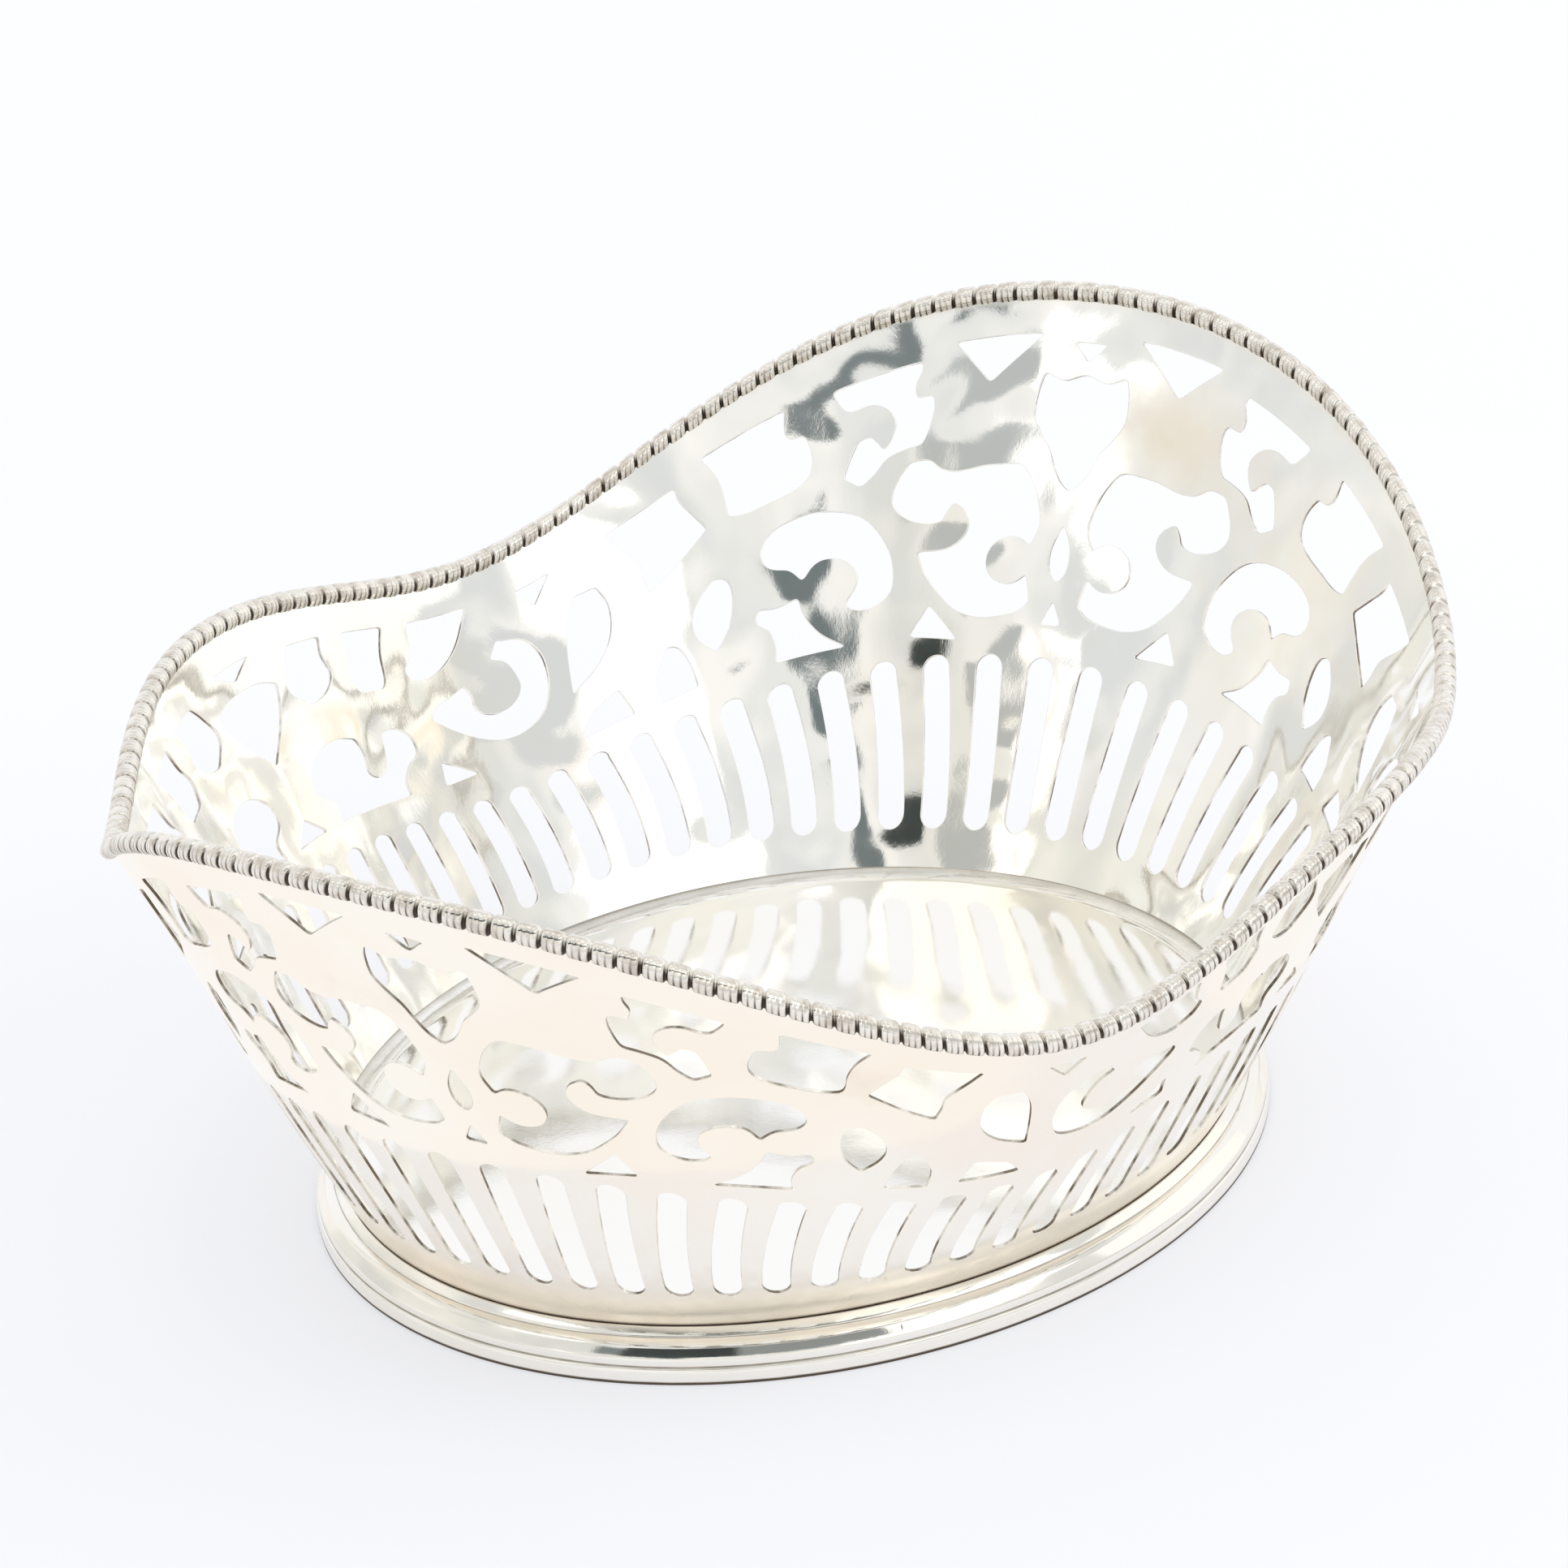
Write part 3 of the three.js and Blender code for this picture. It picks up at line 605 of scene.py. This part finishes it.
# One bead from gap to gap: share of the pitch, radius as a share of the bead's radius, and grime
BEAD_PROFILE = [
    (0.0, 0.7, 1.6), (0.035, 0.71, 1.6), (0.07, 0.8, 1.4), (0.1, 0.9, 0.5), (0.14, 0.955, 0.1),
    (0.21, 0.98, 0.0), (0.27, 0.985, 0.0), (0.31, 0.98, 0.35), (0.34, 0.972, 0.65), (0.37, 0.98, 0.25),
    (0.42, 0.995, 0.0), (0.48, 1.0, 0.0), (0.55, 0.995, 0.0), (0.595, 0.98, 0.4), (0.63, 0.972, 0.8),
    (0.66, 0.98, 0.45), (0.7, 0.985, 0.0), (0.78, 0.98, 0.0), (0.86, 0.955, 0.1), (0.9, 0.9, 0.5),
    (0.93, 0.8, 1.4), (0.965, 0.71, 1.6),
]
BEAD_SIDES = 20
BEAD_SIZE_SPREAD = 0.04
BEAD_FILM = 0.25
STREAK_LEAST, STREAK_SPREAD = 0.6, 0.8

# Painted shade on the beads: their darkening is heavier underneath and on the outside and lighter on top
BEAD_DARKENING_ALL_ROUND, PAINTED_SHADE_OUTSIDE, PAINTED_SHADE_ON_TOP = 0.62, 0.3, -0.45


def beaded_rim():
    rng = np.random.default_rng(7)
    share, radius, grime_and_shade = np.array(BEAD_PROFILE).T
    pitch = (np.arange(BEAD_COUNT)[:, None] + share).ravel() * SLOT_COUNT / BEAD_COUNT
    size = np.repeat(1 - BEAD_SIZE_SPREAD * rng.random(BEAD_COUNT), len(share))
    radii = np.tile(radius, BEAD_COUNT) * size * BEAD_RADIUS
    centre = at_pitch(rim_curve, RIM_TABLES, pitch)
    _, up, outward = wall_frame(pitch, 1.0)
    angle = np.arange(BEAD_SIDES) / BEAD_SIDES * 2 * np.pi
    rows = centre[:, None] + radii[:, None, None] * (
        outward[:, None] * np.cos(angle)[None, :, None] + up[:, None] * np.sin(angle)[None, :, None])
    # Painted shade: the beads darker underneath and on the outside, lighter on top
    dark_amount = BEAD_DARKENING_ALL_ROUND + PAINTED_SHADE_OUTSIDE * np.cos(angle) + PAINTED_SHADE_ON_TOP * np.sin(angle)
    streak = np.tile(grime_and_shade, BEAD_COUNT) * (STREAK_LEAST + STREAK_SPREAD * rng.random(len(pitch)))
    return ring_mesh("rim_beads", rows, (streak[:, None] + BEAD_FILM) * dark_amount[None, :])


# Section of the foot: out from the wall's base line, height, and how dark it is painted: darker in the creases
# and at the junction with the wall, and painted contact shadow with tarnish along the bottom edge
FOOT_SECTION = [
    # The bottom edge: painted contact shadow with tarnish
    (2.5, 0.02, 0.9), (2.56, 0.08, 0.9), (2.585, 0.24, 0.9), (2.59, 0.42, 0.0), (2.59, 0.6, 0.0),
    (2.57, 1.0, 0.0), (2.54, 1.32, 0.0), (2.49, 1.41, 0.0), (2.4, 1.46, 0.35), (2.33, 1.5, 0.6),
    (2.32, 1.56, 0.6), (2.37, 1.62, 0.2), (2.42, 1.72, 0.0), (2.45, 1.9, 0.0), (2.455, 2.1, 0.0),
    (2.45, 2.2, 0.0), (2.43, 2.28, 0.0), (2.38, 2.35, 0.0), (2.282, 2.475, 0.0), (2.182, 2.6, 0.0),
    (2.08, 2.725, 0.0), (1.976, 2.85, 0.0), (1.87, 2.975, 0.0), (1.761, 3.1, 0.0), (1.62, 3.22, 0.0),
    (1.46, 3.34, 0.0), (1.29, 3.44, 0.0), (1.12, 3.52, 0.0), (0.99, 3.55, 0.35), (0.93, 3.58, 0.6),
    (0.91, 3.62, 0.2), (0.86, 3.68, 0.0), (0.7, 3.84, 0.0), (0.52, 4.01, 0.0), (0.36, 4.16, 0.0),
    (0.29, 4.22, 0.2), (0.2, 4.26, 0.7), (0.05, 4.2, 0.8), (0.0, 3.86, 0.5), (-3.2, 3.86, 0.0),
    (-3.2, 3.2, 0.0), (0.2, 3.2, 0.0), (0.45, 3.1, 0.2), (0.55, 2.9, 0.2), (1.0, 0.3, 0.2),
    (1.05, 0.08, 0.6), (1.15, 0.02, 0.8),
]

FOOT_STATIONS = 480

# The dark line where the strip's two ends are soldered together: its angle round the foot and its breadth in
# radians, how dark it is, and the height it is centred on and its reach either way in millimetres
SEAM_AT = 3.872
SEAM_BREADTH = 0.0024
SEAM_STATION_STEP = 0.0019
SEAM_GRIME = 0.85
SEAM_HEIGHT, SEAM_REACH = 2.75, 0.4


def foot_ring():
    stations = np.linspace(0, 2 * np.pi, FOOT_STATIONS + 1)[:-1]
    angle = np.sort(np.concatenate([stations, SEAM_AT + np.arange(-2, 3) * SEAM_STATION_STEP]))
    out, height, grime_and_shade = np.array(FOOT_SECTION).T
    rows = np.stack([
        (BASE_HALF_LENGTH + out) * np.cos(angle)[:, None],
        (BASE_HALF_WIDTH + out) * np.sin(angle)[:, None],
        np.broadcast_to(height, (len(angle), len(height))),
    ], -1)
    seam = SEAM_GRIME * np.exp(-((angle - SEAM_AT) / SEAM_BREADTH) ** 2)
    along = np.clip(1 - np.abs(height - SEAM_HEIGHT) / SEAM_REACH, 0, 1)
    return ring_mesh("foot", rows, grime_and_shade[None, :] + seam[:, None] * along[None, :])


# Section of the floor plate, from the middle of its top to the middle of its underside: inset from the wall's
# base line, height over the top, and how dark it is painted, darker towards the edge. Its edge turns up to meet
# the wall.
FLOOR_SECTION = [
    (30.0, 0.0, 0.0), (20.0, 0.0, 0.0), (10.0, 0.0, 0.0), (4.0, 0.0, 0.0), (2.4, 0.0, 0.0),
    (1.6, 0.0, 0.0), (1.2, 0.03, 0.0), (0.8, 0.1, 0.05), (0.45, 0.2, 0.14), (0.1, 0.3, 0.25),
    (-0.25, 0.42, 0.4), (-0.62, 0.56, 0.5), (-0.5, 0.1, 0.5), (0.42, -0.3, 0.3), (0.5, -0.75, 0.3),
    (4.0, -0.75, 0.1), (20.0, -0.75, 0.0), (30.0, -0.75, 0.0),
]
FLOOR_STATIONS = 240


def base_loops(outs, heights, count):
    """Closed loops round the basket, each at one distance out from the wall's base line and one height."""
    angle = np.linspace(0, 2 * np.pi, count + 1)[:-1]
    return np.concatenate([
        np.stack([(BASE_HALF_LENGTH + out) * np.cos(angle), (BASE_HALF_WIDTH + out) * np.sin(angle),
                  np.full(count, height)], -1)
        for out, height in zip(outs, heights)
    ])


def strips_between(rows, count):
    """Faces that join each closed loop to the next one."""
    faces = []
    for low in range(0, (rows - 1) * count, count):
        high = low + count
        for i in range(count):
            j = (i + 1) % count
            faces.append((low + i, high + i, high + j, low + j))
    return faces


def floor_plate():
    inset, rise, grime_and_shade = np.array(FLOOR_SECTION).T
    verts = base_loops(-inset, FLOOR_TOP + rise, FLOOR_STATIONS)
    faces = strips_between(len(FLOOR_SECTION), FLOOR_STATIONS)
    faces.append(tuple(range(FLOOR_STATIONS)))
    faces.append(tuple(reversed(range(len(verts) - FLOOR_STATIONS, len(verts)))))
    obj = make_object("floor", verts, faces)
    mark_grime_and_shade(obj, np.repeat(grime_and_shade, FLOOR_STATIONS))
    return obj


# Materials
def node(tree, kind, **inputs):
    made = tree.nodes.new(kind)
    for name, value in inputs.items():
        made.inputs[name.replace("_", " ")].default_value = value
    return made


def ramp(tree, positions, colors):
    made = tree.nodes.new("ShaderNodeValToRGB")
    for element, position, color in zip(made.color_ramp.elements, positions, colors):
        element.position = position
        element.color = (*color, 1)
    return made


def under_grime_and_shade(tree, where, tinted, shine, grime_and_shade):
    """The colour and roughness with darkening laid over them where a piece is marked with it, in patches:
    tarnish, and painted shade.
    """
    link = tree.links.new
    dark_amount = tree.nodes.new("ShaderNodeAttribute")
    dark_amount.attribute_name = "grime_and_shade"
    patchy = node(tree, "ShaderNodeTexNoise", Scale=420.0, Detail=3.0)
    link(where, patchy.inputs["Vector"])
    amount = tree.nodes.new("ShaderNodeMath")
    amount.operation = "MULTIPLY_ADD"
    amount.use_clamp = True
    link(dark_amount.outputs["Fac"], amount.inputs[0])
    amount.inputs[1].default_value = 1.5
    shift = tree.nodes.new("ShaderNodeMath")
    shift.operation = "MULTIPLY"
    link(patchy.outputs["Fac"], shift.inputs[0])
    shift.inputs[1].default_value = -0.5
    link(shift.outputs["Value"], amount.inputs[2])
    dirt_and_shade = tree.nodes.new("ShaderNodeMix")
    dirt_and_shade.data_type = "RGBA"
    link(amount.outputs["Value"], dirt_and_shade.inputs["Factor"])
    link(tinted, dirt_and_shade.inputs["A"])
    dirt_and_shade.inputs["B"].default_value = (*grime_and_shade, 1)
    dull = tree.nodes.new("ShaderNodeMix")
    link(amount.outputs["Value"], dull.inputs["Factor"])
    link(shine, dull.inputs["A"])
    dull.inputs["B"].default_value = 0.55
    return dirt_and_shade.outputs["Result"], dull.outputs["Result"]


def silver(name, color, tarnish, roughness, wave, grime_and_shade=None, clouds=(38.0, 0.45, 0.75), swell=(62.0, 0.001)):
    """Hand-polished silver: a warm cloudy tint, faint smears, the hammer's swell and fine scratches.

    Clouds are the tint's scale, where it starts and where it is full. Swell is the scale and depth of the
    hammer's marks, and wave is their strength.
    """
    mat = bpy.data.materials.new(name)
    mat.use_nodes = True
    tree = mat.node_tree
    bsdf = tree.nodes["Principled BSDF"]
    bsdf.inputs["Metallic"].default_value = 1.0
    link = tree.links.new
    where = tree.nodes.new("ShaderNodeTexCoord").outputs["Object"]

    cloud = node(tree, "ShaderNodeTexNoise", Scale=clouds[0], Detail=5.0, Roughness=0.55)
    link(where, cloud.inputs["Vector"])
    tint = ramp(tree, clouds[1:], (color, tarnish))
    link(cloud.outputs["Fac"], tint.inputs["Fac"])
    smudge = node(tree, "ShaderNodeTexNoise", Scale=210.0, Detail=6.0, Roughness=0.65)
    link(where, smudge.inputs["Vector"])
    rough = node(tree, "ShaderNodeMapRange", From_Min=0.3, From_Max=0.75,
                 To_Min=roughness[0], To_Max=roughness[1])
    link(smudge.outputs["Fac"], rough.inputs["Value"])
    tinted, shine = tint.outputs["Color"], rough.outputs["Result"]
    if grime_and_shade:
        tinted, shine = under_grime_and_shade(tree, where, tinted, shine, grime_and_shade)
    link(tinted, bsdf.inputs["Base Color"])
    link(shine, bsdf.inputs["Roughness"])

    buckle = node(tree, "ShaderNodeTexNoise", Scale=swell[0], Detail=2.2, Roughness=0.45)
    link(where, buckle.inputs["Vector"])
    planish = node(tree, "ShaderNodeBump", Strength=wave, Distance=swell[1])
    link(buckle.outputs["Fac"], planish.inputs["Height"])
    scratch_space = node(tree, "ShaderNodeMapping", Scale=(900.0, 900.0, 60.0), Rotation=(0.4, 0.9, 0.3))
    link(where, scratch_space.inputs["Vector"])
    scratch = node(tree, "ShaderNodeTexNoise", Scale=3.0, Detail=4.0, Roughness=0.7)
    link(scratch_space.outputs["Vector"], scratch.inputs["Vector"])
    fine = node(tree, "ShaderNodeBump", Strength=0.06, Distance=0.00005)
    link(scratch.outputs["Fac"], fine.inputs["Height"])
    link(planish.outputs["Normal"], fine.inputs["Normal"])
    link(fine.outputs["Normal"], bsdf.inputs["Normal"])
    return mat


def dress(obj, node_name, slot, *materials):
    for material in materials:
        obj.data.materials.append(material)
    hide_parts(node_name)
    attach(obj, "root")


# Colour the foot darkens to, in its creases and as painted contact shadow with tarnish along its bottom edge
FOOT_GRIME_AND_SHADE = (0.12, 0.095, 0.07)
# Colour the wall's outside darkens to, as painted shade towards the foot and as tarnish
WALL_STAIN_AND_SHADE = (0.78, 0.68, 0.54)
FOOT_SILVER = silver("foot_silver", (0.945, 0.92, 0.865), (0.9, 0.845, 0.75), (0.04, 0.09), 0.08, grime_and_shade=FOOT_GRIME_AND_SHADE)
FLOOR_SILVER = silver("floor_silver", (0.96, 0.95, 0.925), (0.95, 0.915, 0.84), (0.04, 0.09), 0.14,
                      grime_and_shade=(0.42, 0.36, 0.29))
OUTER_SILVER = silver("outer_silver", (0.995, 0.955, 0.885), (0.985, 0.875, 0.755), (0.05, 0.1), 0.16,
                      grime_and_shade=WALL_STAIN_AND_SHADE, clouds=(30.0, 0.43, 0.76))
INNER_SILVER = silver("inner_silver", (0.965, 0.96, 0.935), (0.965, 0.93, 0.845), (0.035, 0.08), 1.0,
                      grime_and_shade=(0.95, 0.84, 0.67), clouds=(34.0, 0.5, 0.72), swell=(52.0, 0.0013))
SAWN_SILVER = silver("sawn_silver", (0.93, 0.89, 0.83), (0.22, 0.18, 0.14), (0.2, 0.35), 0.3,
                     clouds=(260.0, 0.44, 0.6))
RIM_SILVER = silver("rim_silver", (0.9, 0.86, 0.8), (0.6, 0.53, 0.46), (0.06, 0.16), 0.35,
                    grime_and_shade=(0.085, 0.067, 0.053), clouds=(700.0, 0.45, 0.75), swell=(500.0, 0.00014))
dress(foot_ring(), "foot_ring", "foot_silver", FOOT_SILVER)
dress(floor_plate(), "floor_plate", "floor_silver", FLOOR_SILVER)
dress(pierced_wall(), "pierced_wall", "wall_silver", OUTER_SILVER, INNER_SILVER, SAWN_SILVER)
dress(beaded_rim(), "beaded_rim_wire", "rim_silver", RIM_SILVER)


# Studio
TABLE_REACH = 4.0
TENT_DISTANCE = 1.4
FLAG_DISTANCE = 0.2
STAGE_MIDDLE = Vector((0, 0, 0.03))
SHEET_LIFT = 0.1
SHEET_STATIONS = 96
WINDOW = (1.3, 1.3, 1.28)
TOP_WINDOW = (1.25, 1.25, 1.23)


def link_mesh(name, verts, faces, material):
    mesh = bpy.data.meshes.new(name)
    mesh.from_pydata(verts, [], faces)
    obj = bpy.data.objects.new(name, mesh)
    bpy.context.scene.collection.objects.link(obj)
    obj.data.materials.append(material)
    return obj


def glowing(name, glow, color=(0, 0, 0), specular=0.0, roughness=0.5):
    mat = bpy.data.materials.new(name)
    mat.use_nodes = True
    bsdf = mat.node_tree.nodes["Principled BSDF"]
    bsdf.inputs["Base Color"].default_value = (*color, 1)
    bsdf.inputs["Roughness"].default_value = roughness
    bsdf.inputs["Specular IOR Level"].default_value = specular
    bsdf.inputs["Emission Color"].default_value = (*glow, 1)
    bsdf.inputs["Emission Strength"].default_value = 1.0
    return mat


def studio_floor():
    corners = [(x * TABLE_REACH, y * TABLE_REACH, 0) for x, y in ((-1, -1), (1, -1), (1, 1), (-1, 1))]
    white = glowing("studio_floor", (0.53, 0.535, 0.56), (0.38, 0.385, 0.4), specular=0.1, roughness=0.7)
    obj = link_mesh("studio_floor", corners, [(0, 1, 2, 3)], white)


def direction(azimuth, elevation):
    a, e = math.radians(azimuth), math.radians(elevation)
    return Vector((math.cos(e) * math.cos(a), math.cos(e) * math.sin(a), math.sin(e)))


def fill_light(name, azimuth, elevation, size, power):
    """A soft light on the table that the silver doesn't mirror."""
    light = bpy.data.lights.new(name, "AREA")
    light.shape = "RECTANGLE"
    light.size, light.size_y = size
    light.energy = power
    obj = bpy.data.objects.new(name, light)
    bpy.context.scene.collection.objects.link(obj)
    back = direction(azimuth, elevation)
    obj.location = back * TENT_DISTANCE + STAGE_MIDDLE
    obj.rotation_mode = "QUATERNION"
    obj.rotation_quaternion = back.to_track_quat("Z", "Y")
    obj.visible_camera = False
    obj.visible_glossy = False


def reflected_only(name, verts, faces, glow):
    """A lit or dull surface of the studio that is seen only in the silver."""
    obj = link_mesh(name, verts, faces, glowing(name, glow))
    obj.visible_camera = False
    obj.visible_shadow = False
    obj.visible_diffuse = False


def studio_card(name, corners, glow, distance=TENT_DISTANCE):
    """A panel of the tent round the table; its corners are compass directions from the basket."""
    reflected_only(name, [tuple(direction(*c) * distance + STAGE_MIDDLE) for c in corners],
                   [tuple(range(len(corners)))], glow)


def glowing_table_reflection(inner, outer, glow):
    """A pale sheet on the table that glows and is seen only in the silver, from one distance round the foot to
    another, in
    millimetres: a painted reflection that brightens the outer wall.
    """
    verts = base_loops((inner, outer), (SHEET_LIFT, SHEET_LIFT), SHEET_STATIONS)
    faces = strips_between(2, SHEET_STATIONS)
    reflected_only("glowing_table_reflection", ((verts + CENTRE_SHIFT) * MM).tolist(), faces, glow)


def world(dim, bright):
    """The tent's cloth, unevenly lit."""
    made = bpy.data.worlds.new("studio")
    bpy.context.scene.world = made
    made.use_nodes = True
    tree = made.node_tree
    background = tree.nodes["Background"]
    where = tree.nodes.new("ShaderNodeTexCoord")
    folds = node(tree, "ShaderNodeTexNoise", Scale=2.6, Detail=2.0, Roughness=0.5)
    tree.links.new(where.outputs["Generated"], folds.inputs["Vector"])
    cloth = ramp(tree, (0.38, 0.62), (dim, bright))
    tree.links.new(folds.outputs["Fac"], cloth.inputs["Fac"])
    tree.links.new(cloth.outputs["Color"], background.inputs["Color"])
    background.inputs["Strength"].default_value = 1.0


# The camera: compass direction and height in degrees, roll, place across, up and back in millimetres, and lens
CAMERA_FROM = (-153.61, 23.22)
CAMERA_ROLL = math.radians(-3.39)
CAMERA_PLACE = (-1.09, 30.57, 778.2)
FOCAL_LENGTH = 205.9


def camera():
    """At the photograph's viewing angle."""
    back = direction(*CAMERA_FROM)
    azimuth = math.radians(CAMERA_FROM[0])
    right = Vector((-math.sin(azimuth), math.cos(azimuth), 0))
    up = back.cross(right)
    tilted_right = math.cos(CAMERA_ROLL) * right + math.sin(CAMERA_ROLL) * up
    tilted_up = -math.sin(CAMERA_ROLL) * right + math.cos(CAMERA_ROLL) * up
    data = bpy.data.cameras.new("camera")
    data.sensor_width = 36.0
    data.lens = FOCAL_LENGTH
    data.clip_start, data.clip_end = 0.01, 50
    obj = bpy.data.objects.new("camera", data)
    bpy.context.scene.collection.objects.link(obj)
    across, over, away = CAMERA_PLACE
    at = tilted_right * across + tilted_up * over + back * away + Vector(CENTRE_SHIFT)
    turn = Matrix((tilted_right, tilted_up, back)).transposed().to_4x4()
    obj.matrix_world = Matrix.Translation(at * MM) @ turn
    bpy.context.scene.camera = obj


studio_floor()
world(dim=(0.75, 0.765, 0.76), bright=(1.0, 0.985, 0.95))
fill_light("overhead", 206, 82, (1.6, 1.6), 0.3)
fill_light("left_fill", 122, 22, (1.2, 0.8), 1.8)
fill_light("right_fill", 298, 24, (1.2, 0.8), 7.0)
fill_light("front_fill", 255, 38, (1.2, 0.8), 1.6)
fill_light("back_fill", 40, 42, (1.2, 0.8), 1.8)
studio_card("right_window", [(236, 21), (254, 22), (262, 31), (270, 36), (282, 35), (300, 36), (300, 50),
                             (262, 50), (236, 48)], WINDOW)
studio_card("low_grey", [(258, 22), (272, 14), (294, 8), (311, 6), (311, 14), (304, 20), (292, 25), (283, 32),
                         (276, 34.5), (268, 33.5), (262, 28)], (0.7, 0.715, 0.715))
studio_card("right_high_window", [(240, 56), (277, 50), (277, 58), (240, 65)], WINDOW)
studio_card("left_window", [(143, 24), (152, 27), (150, 33), (156, 29), (159, 37), (150, 38), (147, 35)],
            WINDOW)
studio_card("left_high_window", [(119, 43), (133, 49), (147, 54), (147, 60), (133, 57), (119, 52)], WINDOW)
studio_card("top_left_window", [(80, 66), (140, 66), (150, 84), (70, 84)], TOP_WINDOW)
studio_card("top_right_window", [(270, 70), (330, 70), (340, 84), (260, 84)], TOP_WINDOW)
studio_card("back_window", [(-25, 3), (25, 3), (70, 3), (70, 32), (25, 38), (-25, 32)], (1.0, 1.01, 1.03))
studio_card("grey_flag", [(159, 29), (170, 31), (170, 38), (159, 36)], (0.5, 0.52, 0.52))
studio_card("side_glow", [(313, 6), (345, 6), (345, 34), (300, 34), (300, 26), (308, 20)], (1.1, 1.1, 1.07))
studio_card("dark_strip", [(160, 42.5), (190, 43.5), (190, 47), (160, 47.5)], (0.2, 0.23, 0.235))
studio_card("dark_panel", [(194, 43), (207, 43), (207, 49.5), (194, 49.5)], (0.17, 0.2, 0.205),
            distance=0.206)
studio_card("left_flag", [(173.3, 30.1), (188.7, 32.2), (204.9, 33.3), (204.6, 41.5), (188.9, 40.8),
                          (173.8, 38.7)], (0.05, 0.06, 0.06),
            distance=FLAG_DISTANCE)
studio_card("right_flag", [(204.9, 33.3), (223.8, 33.1), (242.8, 31.8), (241.9, 39.6), (223.1, 41.3),
                           (204.6, 41.5)], (0.28, 0.3, 0.3),
            distance=FLAG_DISTANCE)
# Painted reflection: a glowing ring round the foot, seen only in the silver, that brightens the outer wall
glowing_table_reflection(15, 130, (0.975, 0.965, 0.962))
camera()
bpy.context.scene.view_settings.view_transform = "Standard"
